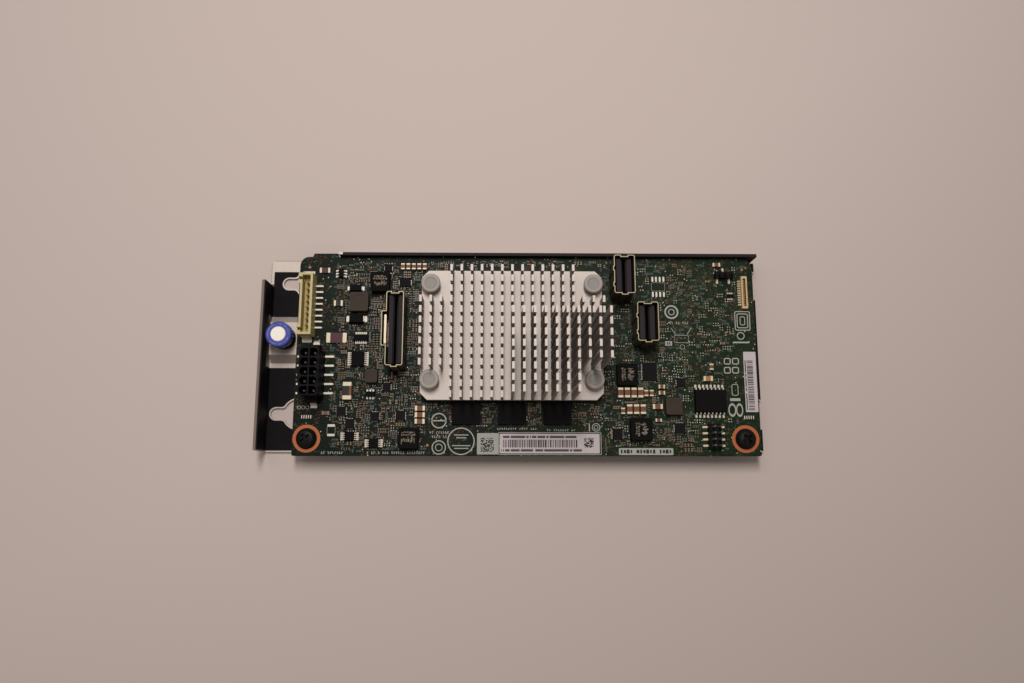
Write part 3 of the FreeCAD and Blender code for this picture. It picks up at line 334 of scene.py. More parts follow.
plain("blackened_steel", tone(13, 11, 11), 0.45, gloss=0.1, nodes="board_screws plunger_ferrule")
plain("epoxy_moulding", tone(13, 11, 11), 0.7, gloss=0.06,
      nodes="memory_chips flash_chip small_outline_chips power_coils diodes")
plain("flat_chip_moulding", tone(24, 20, 22), 0.7, gloss=0.06, nodes="flat_chips")
plain("black_nylon", tone(12, 11, 12), 0.6, gloss=0.08,
      nodes="power_header_housing pin_header_body jumper_header_body")
plain("socket_nylon", tone(46, 40, 44), 0.6, gloss=0.07,
      nodes="long_socket_housing back_socket_housing front_socket_housing")
tin = plain("tinned_copper", tone(206, 196, 180), 0.35, 0.15, 0.15, 0.6, 0.8,
            nodes="signal_header_nails power_header_nails flash_chip_leads small_outline_leads "
                  "diode_leads")
plain("gold_plate", tone(188, 162, 116), 0.35, 0.2, nodes="cable_connector_contacts")
plain("shaded_contacts", tone(34, 29, 27), 0.6, 0.1, gloss=0.15,
      nodes="long_socket_contacts back_socket_contacts front_socket_contacts")
plain("latch_plate", tone(206, 186, 158), 0.3, 0.2, nodes="long_socket_latch")
plain("ferrite", tone(58, 47, 38), 0.6, size=0.8, shade=0.7, gloss=0.15, nodes="wound_coils")
plain("resistor_glaze", tone(68, 30, 38), 0.35, size=0.5, gloss=0.2, nodes="sense_resistors")
spring_wire = plain("spring_wire", tone(190, 186, 182), 0.3, 0.9,
                    nodes="push_pin_springs plunger_spring")
plain("turned_steel", tone(232, 222, 210), 0.4, 0.1, 0.12, 0.5,
      nodes="controller_lid plunger_pin")
plain("pad_rubber", tone(150, 150, 154), 0.8, nodes="thermal_pad")
cap_tin = plain("tinned_cap_end", tone(216, 200, 170), 0.4, 0.1, 0.15, 0.4, 0.7)
dull_tin = plain("dull_solder", tone(132, 122, 102), 0.45, 0.1, 0.15, 0.3, 0.6)
dot_tin = plain("solder_dot", tone(174, 168, 150), 0.45, 0.1, 0.15, 0.3, 0.7)
copper = plain("bare_copper", tone(170, 92, 50), 0.45, 0.1, 0.1, 0.8, 0.82)
silk = plain("printed_white", tone(164, 162, 152), 0.7, size=0.6, shade=0.75)
dim_silk = plain("faint_print", tone(84, 98, 88), 0.7, size=0.6, shade=0.7)

# %% [markdown]
# ## Shells, and pins inside their housings
#
# The sockets' metal shells are painted dark on their sides as shade, and pale only at the rim,
# so the finish looks at the height of a point. The power header's pins are bright where they
# leave the housing and painted dark inside it as shade, which the finish tells from the housing's
# own side; the signal header's pins are painted dark in their housing the same way. The signal
# header is beige, and painted darker down in its well as shade.

# %% Finishes that change with place
def metal_by_place(name, dark, bright, test):
    """Bright where the test of x, y and z in millimetres holds, dark elsewhere."""
    made = Finish(name, dark, 0.4, gloss=0.2)
    bare = test(*made.axes())
    made.feed("Base Color", made.mix(bare, dark, bright))
    made.feed("Metallic", bare * 0.2)
    return made


rim_level = corners("long_socket_shell")[1].z / mm - 0.1
# the shells' sides are painted dark as shade; only the rim keeps the pale plated tone
shaded_shell_metal = metal_by_place("plated_shell", tone(60, 52, 42), tone(156, 144, 114),
                             lambda x, y, z: z > rim_level)
for node in ("long_socket_shell", "back_socket_shell", "front_socket_shell"):
    wear(node, shaded_shell_metal)
power_low, power_high = (c / mm for c in corners("power_header_housing"))
# the pins inside the housing are painted dark: painted shade
wear("power_header_pins", metal_by_place(
    "power_pin_tin", tone(60, 55, 52), tone(206, 196, 180),
    lambda x, y, z: (x > power_high.x - 0.2) + (x < power_low.x + 0.1)))
for node, tip in (("jumper_header_pins", tone(44, 38, 38)),
                  ("pin_header_pins", tone(92, 82, 74))):
    wear(node, metal_by_place(node + "_gold", tip, tone(206, 186, 150),
                              lambda x, y, z: z < face / mm + 1.0))
signal_high = corners("signal_header_housing")[1] / mm
# the pins inside the housing are painted darker: painted shade
wear("signal_header_pins", metal_by_place(
    "signal_pin_tin", tone(118, 106, 78), tone(206, 196, 180),
    lambda x, y, z: x > signal_high.x - 0.2))
well = Finish("beige_nylon_well", tone(184, 170, 120), 0.5, gloss=0.2)
x, y, z = well.axes()
shaded_well_tone = well.mix(well.noise(0.9), tone(150, 128, 70), tone(196, 174, 112))
rim_tone = well.mix(well.noise(1.2), tone(170, 156, 112), tone(192, 178, 134))
# below the rim the housing gets the darker well tone: painted shade
well.feed("Base Color", well.mix(z < signal_high.z - 1.2, rim_tone, shaded_well_tone))
wear("signal_header_housing", well)

# %% The cable connector's brown slot
side_wall, end_wall = 0.4, 0.6
slot_low, slot_high = (c / mm for c in corners("cable_connector_body"))
cream = Finish("cream_nylon", tone(188, 160, 120), 0.5, gloss=0.2)
x, y, z = cream.axes()
slot = x.within(slot_low.x + side_wall, slot_high.x - side_wall)
slot = slot * y.within(slot_low.y + end_wall, slot_high.y - end_wall) * (z < slot_high.z - 0.1)
nylon_tone = cream.mix(cream.noise(1.5), tone(176, 148, 108), tone(196, 170, 132))
cream.feed("Base Color", cream.mix(slot, nylon_tone, tone(104, 70, 32)))
wear("cable_connector_body", cream)

# %% Ceramic bodies, two of them dark and one tan
ceramic = Finish("ceramic_body", tone(128, 82, 52), 0.5, gloss=0.2)
x, y, z = ceramic.axes()
x, y = x - board_low.x / mm, y - board_low.y / mm
black_bodies = x.within(14, 18) * y.within(17.5, 24.5) + x.within(9, 14.6) * y.within(48.5, 51.2)
tan_body = x.within(133, 137) * y.within(24.3, 26.5)
body_tone = ceramic.mix(ceramic.noise(0.5), tone(86, 52, 34), tone(120, 76, 50))
body_tone = ceramic.mix(black_bodies, body_tone, tone(30, 26, 28))
ceramic.feed("Base Color", ceramic.mix(tan_body, body_tone, tone(152, 106, 54)))
wear("chip_capacitors", ceramic)

# %% [markdown]
# ## The blue knob and the push pins
#
# The knob is blue nylon with a ring of pale dashes on its crown. The heads of the push pins have
# a pale rim and a darker middle, so the finish measures how far a point is from its own pin.

# %% Knob and push-pin finishes
knob_blue = plain("blue_nylon", tone(46, 54, 138), 0.34, 0.0, 0.1, 0.8, 0.8, 0.25)
knob_low, knob_high = (c / mm for c in corners("plunger_knob"))
x, y, z = knob_blue.axes()
x, y = x - (knob_low.x + knob_high.x) / 2, y - (knob_low.y + knob_high.y) / 2
out = knob_blue.math("SQRT", x * x + y * y)
dashes = out.within(3.25, 3.5) * (knob_blue.noise(0.9, detail=0.0) > 0.46)
nylon_tone = knob_blue.mix(knob_blue.noise(0.8), tone(52, 60, 132), tone(68, 76, 152))
knob_blue.feed("Base Color", knob_blue.mix(dashes, nylon_tone, tone(112, 118, 176)))
wear("plunger_knob", knob_blue)


def solids(node):
    """The corner points of each separate solid of a CAD node, as one array per solid."""
    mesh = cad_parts[node].data
    points = np.array([v.co for v in mesh.vertices])
    keys, index = np.unique(np.round(points, 6), axis=0, return_inverse=True)
    faces = index.reshape(-1)[np.array([list(p.vertices) for p in mesh.polygons])]
    label = np.arange(len(keys))
    while True:
        joined = label.copy()
        np.minimum.at(joined, faces.ravel(), np.repeat(label[faces].min(axis=1), 3))
        joined = joined[joined]
        if (joined == label).all():
            return [keys[label == name] for name in np.unique(label)]
        label = joined


def boxes(node):
    """The low and the high corner of each separate solid of a CAD node."""
    return [(Vector(p.min(axis=0)), Vector(p.max(axis=0))) for p in solids(node)]


core_radius = 2.1
pin_grey = Finish("push_pin_nylon", tone(168, 158, 148), 0.5, gloss=0.2)
px, py, _ = pin_grey.axes()
core = 0.0
for low, high in boxes("push_pins"):
    middle = (low + high) / 2 / mm
    dx, dy = px - middle.x, py - middle.y
    core = core + (dx * dx + dy * dy < core_radius ** 2)
pin_grey.feed("Base Color", pin_grey.mix(core, tone(152, 140, 130), tone(134, 128, 124)))
wear("push_pins", pin_grey)

# %% [markdown]
# ## The labels
#
# Paper labels carry bars, rows of small print and a square code. None of it is meant to be
# read here: bars stand at one pitch with a random width each, rows are broken dashes, and the
# square code is a grid of random cells.

# %% Label print as random bars, dashes and cells
bar_pitch, dash, code_cell = 0.56, 0.36, 0.27


def label_finish(node, bars, rows, squares, along="x", paper=tone(180, 168, 167)):
    """Rectangles in millimetres from the label's low corner, as (u0, v0, u1, v1)."""
    made = Finish(node + "_paper", paper, 0.7, gloss=0.2)
    low = corners(node)[0] / mm
    x, y, z = made.axes()
    u, v = x - low.x, y - low.y
    if along == "y":
        u, v = v, u
    ink = 0.0

    def inside(u0, v0, u1, v1):
        return u.within(u0, u1) * v.within(v0, v1)

    for area in bars:
        step = u / bar_pitch
        width = made.cell(step.floor()) * 0.5 + 0.3
        ink = ink + inside(*area) * (step - step.floor() < width)
    for area in rows:
        ink = ink + inside(*area) * (made.cell((u / dash).floor(), area[1]) > 0.14) * 0.9
    for area in squares:
        dark_cell = made.cell((u / code_cell).floor(), (v / code_cell).floor()) > 0.4
        ink = ink + inside(*area) * dark_cell
    made.feed("Base Color", made.mix(ink, paper, tone(42, 37, 39)))
    wear(node, made)


label_finish("barcode_label", [(1.0, 1.9, 25.2, 4.4)],
             [(0.5, 4.9, 25.5, 5.65), (0.5, 0.6, 26.5, 1.35)], [(27.3, 1.9, 30.4, 5.0)])
label_finish("square_label", [], [], [(1.2, 0.8, 5.4, 5.3)], paper=tone(152, 150, 142))
label_finish("edge_label", [(0.6, 1.0, 17.2, 3.0)], [(0.6, 0.3, 17.0, 0.7)], [], along="y")

# %% [markdown]
# ## Modelling by hand, in code
#
# Every added piece starts from a primitive at its real size and is then shaped in edit mode.
# An operator acts on all that is selected, so each helper first clears the selection, and then
# picks faces by where they are or where they look.

# %% Helpers for starting, picking and placing
def spot(x, y, z=0.0):
    """Millimetres from the board's front left corner, and above its face."""
    return Vector((board_low.x + x * mm, board_low.y + y * mm, face + z * mm))


def started(name, finish):
    """The primitive just added, with its place, turn and size moved into its mesh."""
    obj = bpy.context.object
    obj.name = name
    bpy.ops.object.transform_apply(location=True, rotation=True, scale=True)
    obj.data.materials.append(finish.material)
    return obj


def start_box(name, size, finish, centre=(0, 0, 0)):
    bpy.ops.object.select_all(action="DESELECT")
    bpy.ops.mesh.primitive_cube_add(size=mm, location=centre, scale=size)
    return started(name, finish)


def start_disc(name, radius, finish, centre=(0, 0, 0), sides=32):
    bpy.ops.object.select_all(action="DESELECT")
    bpy.ops.mesh.primitive_circle_add(vertices=sides, radius=radius * mm, fill_type="NGON",
                                      location=centre)
    return started(name, finish)


def start_plane(name, finish, wide=1, deep=1):
    bpy.ops.object.select_all(action="DESELECT")
    bpy.ops.mesh.primitive_plane_add(size=mm)
    bpy.context.object.scale = (wide, deep, 1)
    return started(name, finish)


def pick(obj, test=lambda centre, normal: True):
    """Edit mode, with just the faces selected whose centre and normal pass the test."""
    bpy.ops.object.mode_set(mode="EDIT")
    bpy.ops.mesh.select_mode(type="FACE")
    bpy.ops.mesh.select_all(action="DESELECT")
    bpy.ops.object.mode_set(mode="OBJECT")
    for polygon in obj.data.polygons:
        polygon.select = test(polygon.center, polygon.normal)
    bpy.ops.object.mode_set(mode="EDIT")


def edit_whole():
    """Edit mode, with all of the active object selected."""
    bpy.ops.object.mode_set(mode="EDIT")
    bpy.ops.mesh.select_all(action="SELECT")


def face_outwards():
    bpy.ops.mesh.select_all(action="SELECT")
    bpy.ops.mesh.normals_make_consistent(inside=False)
    bpy.ops.object.mode_set(mode="OBJECT")


def thicken(obj, height):
    """Raises all of a flat piece by a height, then turns its faces outwards."""
    pick(obj)
    bpy.ops.mesh.extrude_region_move(TRANSFORM_OT_translate={"value": (0, 0, height * mm)})
    face_outwards()


def stamp(model, places, name, slot):
    """One piece on the card, joined from a copy of the model at each (point, turn, size)."""
    bpy.ops.object.select_all(action="DESELECT")
    for point, turn, size in places:
        copy = model.copy()
        copy.data = model.data.copy()
        copy.data.transform(Matrix.Translation(point) @ Matrix.Rotation(turn, 4, "Z")
                            @ Matrix.Diagonal((*size, 1)))
        bpy.context.collection.objects.link(copy)
        copy.select_set(True)
    bpy.context.view_layer.objects.active = copy
    bpy.ops.object.join()
    made = bpy.context.object
    made.name = name
    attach(made, "card")
    print(name, len(places), "copies,", len(made.data.polygons), "faces")
    return made


def level(places):
    """Unturned places for stamp, from rows of x, y, width and depth."""
    return [(spot(x, y), 0, (wide, deep, 1)) for x, y, wide, deep in places]


def drop(*models):
    """Removes models that have been copied for the last time."""
    for model in models:
        bpy.data.objects.remove(model)


# %% [markdown]
# ## Solder pads under every lead
#
# A lead never stands on bare mask: it sits on a slightly larger pad of tinned copper. The pads
# are found from the CAD model itself, from the part of each lead that is just above the board,
# so they stay right if the leads move. The pad starts as a flat square with its corners cut.

# %% One pad, then a copy under each foot
def flat_tile(name, finish, height, corner=0.12):
    """A tile of 1 by 1 mm with its corners cut."""
    obj = start_plane(name, finish)
    edit_whole()
    bpy.ops.mesh.bevel(offset=corner * mm, segments=1, affect="VERTICES")
    thicken(obj, height)
    return obj


pad = flat_tile("pad", tin, 0.04)
foot_top = face + 0.25 * mm     # a lead's foot is what lies below this
usual_lap, header_lap = 0.12, 0.05
pad_places = []
for node in ("signal_header_pins", "signal_header_nails", "power_header_pins",
             "power_header_nails", "flash_chip_leads", "small_outline_leads", "diode_leads",
             "jumper_header_pins", "pin_header_pins", "cable_connector_contacts"):
    lap = header_lap if node in ("signal_header_pins", "power_header_pins") else usual_lap
    for points in solids(node):
        foot = points[points[:, 2] < foot_top]
        if len(foot) < 3:
            continue
        low, high = foot.min(axis=0) / mm, foot.max(axis=0) / mm
        wide, deep = high[0] - low[0] + 2 * lap, high[1] - low[1] + 2 * lap
        middle = (Vector(low) + Vector(high)) / 2 * mm
        pad_places.append((Vector((middle.x, middle.y, face)), 0, (wide, deep, 1)))
stamp(pad, pad_places, "solder_pads", "tinned_lead")

# %% Short pads that peep out round the flat chips
pad_pitch, pad_wide, pad_long = 0.5, 0.24, 0.5
edge_places = []
for low, high in boxes("flat_chips"):
    for axis in (0, 1):
        other = 1 - axis
        steps = int((high[axis] - low[axis]) / mm / pad_pitch) - 1
        for step in range(steps):
            for side in (low, high):
                point = Vector((0, 0, face))
                point[axis] = (low[axis] + high[axis]) / 2
                point[axis] += (step - (steps - 1) / 2) * pad_pitch * mm
                point[other] = side[other]
                size = [pad_wide, pad_wide, 1]
                size[other] = pad_long
                edge_places.append((point, 0, tuple(size)))
stamp(pad, edge_places, "flat_chip_pads", "tinned_lead")

# %% [markdown]
# ## Metal ends on the larger chip parts
#
# Chip capacitors and resistors are ceramic bars with a metal cap over each end. The bars are in
# the CAD model. A cap is a cube with softened edges, set over both ends of each bar.

# %% One cap, then a pair on each bar
cap = start_box("cap", (1, 1, 1), cap_tin)
pick(cap)
bpy.ops.mesh.bevel(offset=0.08 * mm, segments=2, affect="EDGES")
bpy.ops.object.mode_set(mode="OBJECT")
lap = 0.025                     # a cap stands out this far on each side of its bar
cap_places = []
for node, share in (("chip_capacitors", 0.24), ("sense_resistors", 0.2)):
    for low, high in boxes(node):
        size = (high - low) / mm
        middle = (low + high) / 2
        way = 0 if size.x > size.y else 1
        length = max(size[way] * share, 0.3)
        for side in (-1, 1):
            point = middle.copy()
            point[way] += side * (size[way] - length + 0.04) / 2 * mm
            point.z += 0.02 * mm
            grown = [size.x + 2 * lap, size.y + 2 * lap, size.z + 0.03]
            grown[way] = length
            cap_places.append((point, 0, tuple(grown)))
stamp(cap, cap_places, "chip_end_caps", "tinned_lead")

# %% [markdown]
# ## Hundreds of millimetre-size chip parts
#
# Most parts on the board are a millimetre long or less. Each kind is modelled once: a bar cut
# twice across, with its ends in tin and, on the larger kinds, its middle sunk a little. The
# copies are laid out as on a real board, in short rows and blocks that share a direction. Places
# already taken by a larger part are skipped, which the CAD model's own boxes tell.

# %% The small chip part
def chip_part(name, body, length, width, height, end, sunk):
    obj = start_box(name, (length, width, height), body, (0, 0, height / 2 * mm))
    obj.data.materials.append(dull_tin.material)
    edge = (length / 2 - end) * mm
    for side in (-1, 1):
        edit_whole()
        bpy.ops.mesh.bisect(plane_co=(side * edge, 0, 0), plane_no=(1, 0, 0))
        bpy.ops.object.mode_set(mode="OBJECT")
    if sunk:
        pick(obj, lambda centre, normal: abs(centre.x) < edge and normal.z > 0.5)
        bpy.ops.mesh.inset(thickness=0.03 * mm, depth=-0.03 * mm)
        bpy.ops.object.mode_set(mode="OBJECT")
    for polygon in obj.data.polygons:
        if abs(polygon.center.x) > edge:
            polygon.material_index = 1
    return obj


dark_body = plain("resistor_body", tone(46, 42, 44), 0.4)
rust_body = plain("rust_ceramic", tone(114, 76, 50), 0.5, size=0.7, shade=0.6)
kinds = {}
for kind, body, length, width, height, end, sunk, slot in (
    ("brown", rust_body, 1.0, 0.5, 0.5, 0.22, True, "ceramic_tan"),
    ("dark", dark_body, 1.0, 0.5, 0.35, 0.2, True, "epoxy_black"),
    ("tiny", rust_body, 0.6, 0.3, 0.3, 0.13, False, "ceramic_tan"),
    ("tiny_dark", dark_body, 0.6, 0.3, 0.25, 0.15, False, "epoxy_black"),
):
    model = chip_part(kind + "_chip", body, length, width, height, end, sunk)
    kinds[kind] = model, length, width, slot
print("modelled", len(kinds), "small chip parts")

# %% Places that larger parts have taken
random.seed(11)
off_board = ("tray", "insulating_film", "circuit_board", "standoffs", "plunger_ferrule",
             "plunger_spring", "plunger_pin", "plunger_knob", "controller_lid", "thermal_pad")
low_part = face + 2.6 * mm      # a solid that starts above this leaves room below it
taken = []


def take(low, high):
    taken.append(tuple(v / mm for v in (low.x - board_low.x, low.y - board_low.y,
                                        high.x - board_low.x, high.y - board_low.y)))


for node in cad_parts:
    if node not in off_board:
        for low, high in boxes(node):
            if low.z < low_part:
                take(low, high)
take(*corners("heat_sink"))
# the copper rings, the marks, the empty pads and the print plates, as x0, y0, x1, y1
taken += [(0, 1, 9.8, 10.4), (141.5, 0.7, 151.2, 10.4), (43.4, 0.3, 58.9, 9.6),
          (44.2, 8.5, 49.8, 14.1), (65.6, 0, 100.2, 9.6), (95.3, 7.7, 99.5, 10.8),
          (121.1, 44.8, 126.3, 50.1), (144.5, 36.8, 151.0, 51.0), (140.2, 12.3, 151.2, 34.0),
          (104.8, 0, 123.0, 2.9), (116.9, 52.3, 122.1, 59.8), (10.8, 5.9, 14.0, 10.5),
          (0.6, 11.6, 6.4, 16.4), (123.0, 43.0, 130.8, 44.7), (121.0, 35.9, 123.8, 37.9),
          (0.6, 59.8, 6.0, 64.2), (9.4, 0.4, 17.0, 1.6), (23.0, 0.4, 43.2, 1.6)]
edge_room = 0.7
right_limit, back_limit = (board_high.x - board_low.x) / mm - 0.9, 65.0


def claim(x, y, wide, deep, room=0.14):
    """Takes a rectangle round a middle if it is free, and says whether it was."""
    x0, y0, x1, y1 = x - wide / 2, y - deep / 2, x + wide / 2, y + deep / 2
    if x0 < edge_room or y0 < edge_room or x1 > right_limit or y1 > back_limit:
        return False
    for a0, b0, a1, b1 in taken:
        if x0 < a1 + room and x1 > a0 - room and y0 < b1 + room and y1 > b0 - room:
            return False
    taken.append((x0, y0, x1, y1))
    return True


# %% Rows and blocks of chip parts, zone by zone
mostly_tiny = ("tiny", "tiny", "tiny_dark", "tiny_dark", "brown", "dark")
zones = (
    # front left corner, back right corner, blocks, the most in a row and rows, kinds
    ((12.8, 2.0), (41.0, 63.5), 300, (5, 3), mostly_tiny),
    ((0.6, 10.5), (12.8, 14.0), 10, (3, 2), mostly_tiny),
    ((41.0, 56.0), (60.0, 64.5), 50, (5, 2), mostly_tiny),
    ((60.0, 62.6), (104.0, 65.2), 40, (6, 1), mostly_tiny),
    ((41.0, 8.6), (101.0, 17.4), 120, (4, 2), ("tiny", "tiny", "tiny_dark")),
    ((100.0, 1.5), (119.0, 28.0), 80, (4, 3), mostly_tiny),
    ((119.0, 10.0), (131.0, 64.0), 50, (4, 2), ("tiny_dark", "tiny", "tiny")),
    ((131.0, 11.0), (146.0, 62.0), 30, (3, 2), ("tiny", "tiny", "tiny_dark")),
    ((118.0, 1.5), (132.0, 10.0), 30, (4, 2), mostly_tiny),
)
laid = {kind: [] for kind in kinds}
for x, y, upright, size in (
    # the few that stand alone: place, along Y or not, size against the model
    (136.0, 57.9, False, 1.5), (132.3, 52.1, True, 1.4), (132.7, 40.0, False, 1.5),
    (141.4, 40.1, True, 1.4), (140.1, 36.9, False, 1.6), (143.6, 49.3, False, 1.7),
    (136.3, 29.2, True, 1.6), (10.5, 13.7, False, 2.3), (16.6, 12.6, False, 1.6),
    (16.6, 10.4, False, 1.6), (31.2, 17.3, True, 1.4), (33.2, 17.3, True, 1.4),
):
    if claim(x, y, *((0.5 * size, size) if upright else (size, 0.5 * size))):
        laid["brown"].append((spot(x, y), np.pi / 2 if upright else 0.0, (size, size, 1.2)))
for (x0, y0), (x1, y1), blocks, most, allowed in zones:
    for _ in range(blocks):
        kind = random.choice(allowed)
        model, length, width, slot = kinds[kind]
        upright = random.random() < 0.5
        wide, deep = (width, length) if upright else (length, width)
        turn = np.pi / 2 if upright else 0.0
        start = (random.uniform(x0, x1), random.uniform(y0, y1))
        columns = random.randint(1, most[0] if upright else most[1])
        rows = random.randint(1, most[1] if upright else most[0])
        gap = random.choice((0.22, 0.3, 0.5))
        for i in range(columns):
            for j in range(rows):
                at = (start[0] + i * (wide + gap), start[1] + j * (deep + gap))
                if at[0] < x1 and at[1] < y1 and claim(*at, wide, deep):
                    laid[kind].append((spot(*at), turn, (1, 1, 1)))
for kind, (model, length, width, slot) in kinds.items():
    stamp(model, laid[kind], kind + "_chips", slot)
    drop(model)

# %% [markdown]
# ## Test points, solder dots and faint print
#
# Between the parts lie round test points in tin and short strokes of print. A dot is a small
# eight-sided disc, raised a little; a stroke is a flat tile.

# %% Dots in blocks
def starts(*regions):
    """Random places, as many in each region as it asks for after its two corners."""
    for (x0, y0), (x1, y1), count in regions:
        for _ in range(count):
            yield random.uniform(x0, x1), random.uniform(y0, y1)


dot = start_disc("dot", 0.2, dot_tin, sides=8)
thicken(dot, 0.03)
dot_pitch, dot_room = 0.8, 0.44
dot_places = []
for x, y in starts(((13, 3), (46, 63), 150), ((99, 17), (127, 62), 110), ((46, 8), (100, 17), 40),
                   ((118, 3), (146, 62), 80), ((100, 2), (120, 10), 20)):
    columns, rows = random.choice(((1, 1), (1, 1), (2, 1), (3, 2), (4, 2), (2, 3), (5, 1)))
    for i in range(columns):
        for j in range(rows):
            at = (x + i * dot_pitch, y + j * dot_pitch)
            if claim(*at, dot_room, dot_room, 0.05):
                size = random.uniform(0.7, 1.15)
                dot_places.append((spot(*at), 0, (size, size, 1)))
stamp(dot, dot_places, "solder_dots", "tinned_lead")

# %% Strokes in short words
stroke = flat_tile("stroke", dim_silk, 0.015, 0.05)
letter_pitch, line_wide, line_long = 0.42, 0.2, 0.62
stroke_places = []
for x, y in starts(((11, 1.2), (46, 64), 420), ((46, 8), (101, 17), 60),
                   ((60, 63.4), (104, 65), 20), ((100, 1), (148, 64), 520)):
    upright = random.random() < 0.35
    wide, deep = (line_long, line_wide) if upright else (line_wide, line_long)
    for letter in range(random.randint(3, 5)):
        along = letter * letter_pitch
        at = (x, y + along) if upright else (x + along, y)
        if claim(*at, wide, deep, 0.03):
            stroke_places.append((spot(*at), 0, (wide, deep, 1)))
stamp(stroke, stroke_places, "printed_strokes", "label_white")

# %% Bare rust-coloured specks of flux and laminate
speck_body = plain("rust_speck", tone(98, 66, 40), 0.5, size=0.7, shade=0.6)
speck = flat_tile("speck", speck_body, 0.02, 0.1)
speck_places = []
for at in starts(((12, 2), (46, 63), 900), ((100, 2), (148, 63), 520), ((46, 8), (100, 17), 200)):
    wide, deep = random.uniform(0.25, 0.6), random.uniform(0.2, 0.4)
    if claim(*at, wide, deep, 0.02):
        speck_places.append((spot(*at), 0, (wide, deep, 1)))
stamp(speck, speck_places, "rust_specks", "ceramic_tan")
drop(dot, stroke, speck)

# %% [markdown]
# ## Copper rings, fiducials and printed marks
#
# A screw's head presses on a bare copper ring. A ring starts as a filled circle: the face is
# inset to the ring's width, its middle is deleted and the rest is raised. Printed rings are the
# same shape in white and thinner, and a frame is the same with a plane whose corners are
# rounded. The printed marks are rings, frames and bars only.

# %% Flat rings
print_height = 0.02


def open_and_raise(obj, reach, height, x, y, stretch=1.0):
    """Deletes an inset face within reach of the middle, raises the rest and puts it in place."""
    bpy.ops.object.mode_set(mode="OBJECT")
    pick(obj, lambda centre, normal: centre.length < reach * mm)
    bpy.ops.mesh.delete(type="FACE")
    bpy.ops.object.mode_set(mode="OBJECT")
    thicken(obj, height)
    obj.data.transform(Matrix.Translation(spot(x, y)) @ Matrix.Diagonal((1, stretch, 1, 1)))
    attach(obj, "card")


def flat_ring(name, x, y, outer, inner, finish, height, stretch=1.0):
    ring = start_disc(name, outer / 2, finish, sides=64)
    pick(ring)
    bpy.ops.mesh.inset(thickness=(outer - inner) / 2 * mm)
    open_and_raise(ring, inner * 0.2, height, x, y, stretch)


for name, (low, high) in zip(("left_copper_ring", "right_copper_ring"), boxes("board_screws")):
    x, y = ((low + high) / 2 - board_low).xy / mm
    flat_ring(name, x, y, 8.9, 6.8, copper, 0.03)
printed_rings = (
    # name, middle, outer and inner diameter, stretch along Y
    ("round_mark_front", 54.2, 4.7, 8.8, 8.1, 1), ("round_mark_left", 47.0, 11.3, 5.0, 4.2, 1),
    ("round_mark_right", 123.7, 47.5, 4.7, 3.6, 1), ("inner_mark_right", 123.7, 47.5, 2.2, 1.6, 1),
    ("inner_mark_left", 47.1, 2.7, 2.4, 1.9, 1), ("round_mark_low_a", 142.5, 14.9, 2.6, 1.8, 1.7),
    ("round_mark_low_b", 144.9, 14.9, 2.3, 1.6, 1.9), ("round_mark_side", 146.5, 39.5, 2.6, 2.0, 1),
    ("round_mark_low_left", 47.1, 2.7, 4.6, 3.9, 1), ("round_mark_middle", 97.9, 9.2, 2.7, 2.2, 1),
    ("inner_mark_middle", 97.9, 9.2, 1.4, 1.0, 1),
)
for name, x, y, outer, inner, stretch in printed_rings:
    flat_ring(name, x, y, outer, inner, silk, print_height, stretch)
print("2 copper rings,", len(printed_rings), "printed rings")


# %% Flat frames with rounded corners
def flat_frame(name, x, y, wide, deep, line):
    frame_mark = start_plane(name, silk, wide, deep)
    edit_whole()
    bpy.ops.mesh.bevel(offset=0.6 * mm, segments=3, affect="VERTICES")
    bpy.ops.mesh.inset(thickness=line * mm)
    open_and_raise(frame_mark, 0.1, print_height, x, y)


printed_frames = (
    # name, middle, size, width of the line
    ("frame_mark_outer", 147.3, 44.6, 5.2, 6.6, 0.3),
    ("frame_mark_inner", 147.3, 44.6, 3.8, 5.0, 0.3),
    ("frame_mark_core", 147.3, 44.6, 1.8, 3.0, 0.25),
    ("square_mark_a", 141.6, 31.0, 2.3, 2.2, 0.34), ("square_mark_b", 144.3, 31.0, 2.3, 2.2, 0.34),
    ("square_mark_c", 141.5, 28.0, 2.3, 2.2, 0.34), ("square_mark_d", 144.2, 28.0, 2.3, 2.2, 0.34),
    ("upright_mark", 143.7, 21.5, 2.2, 3.8, 0.22), ("chip_outline", 119.5, 56.1, 4.6, 3.0, 0.1),
    ("area_outline", 126.7, 38.4, 4.9, 2.6, 0.14),
    ("small_outline_mark", 126.9, 35.7, 1.6, 1.6, 0.14),
    ("box_mark_a", 1.8, 15.5, 1.2, 1.3, 0.15), ("box_mark_b", 3.1, 15.5, 1.2, 1.3, 0.15),
    ("box_mark_c", 4.4, 15.5, 1.2, 1.3, 0.15), ("two_pad_outline", 12.4, 8.2, 2.7, 3.0, 0.1),
)
for mark in printed_frames:
    flat_frame(*mark)
print(len(printed_frames), "printed frames")

# %% Fiducial dots
fiducial = start_disc("fiducial", 0.42, copper, sides=24)
thicken(fiducial, 0.03)
stamp(fiducial, level(((3.2, 62.3, 1, 1), (148.0, 62.2, 1, 1), (43.4, 3.4, 1, 1))),
      "fiducials", "gold_contact")
drop(fiducial)

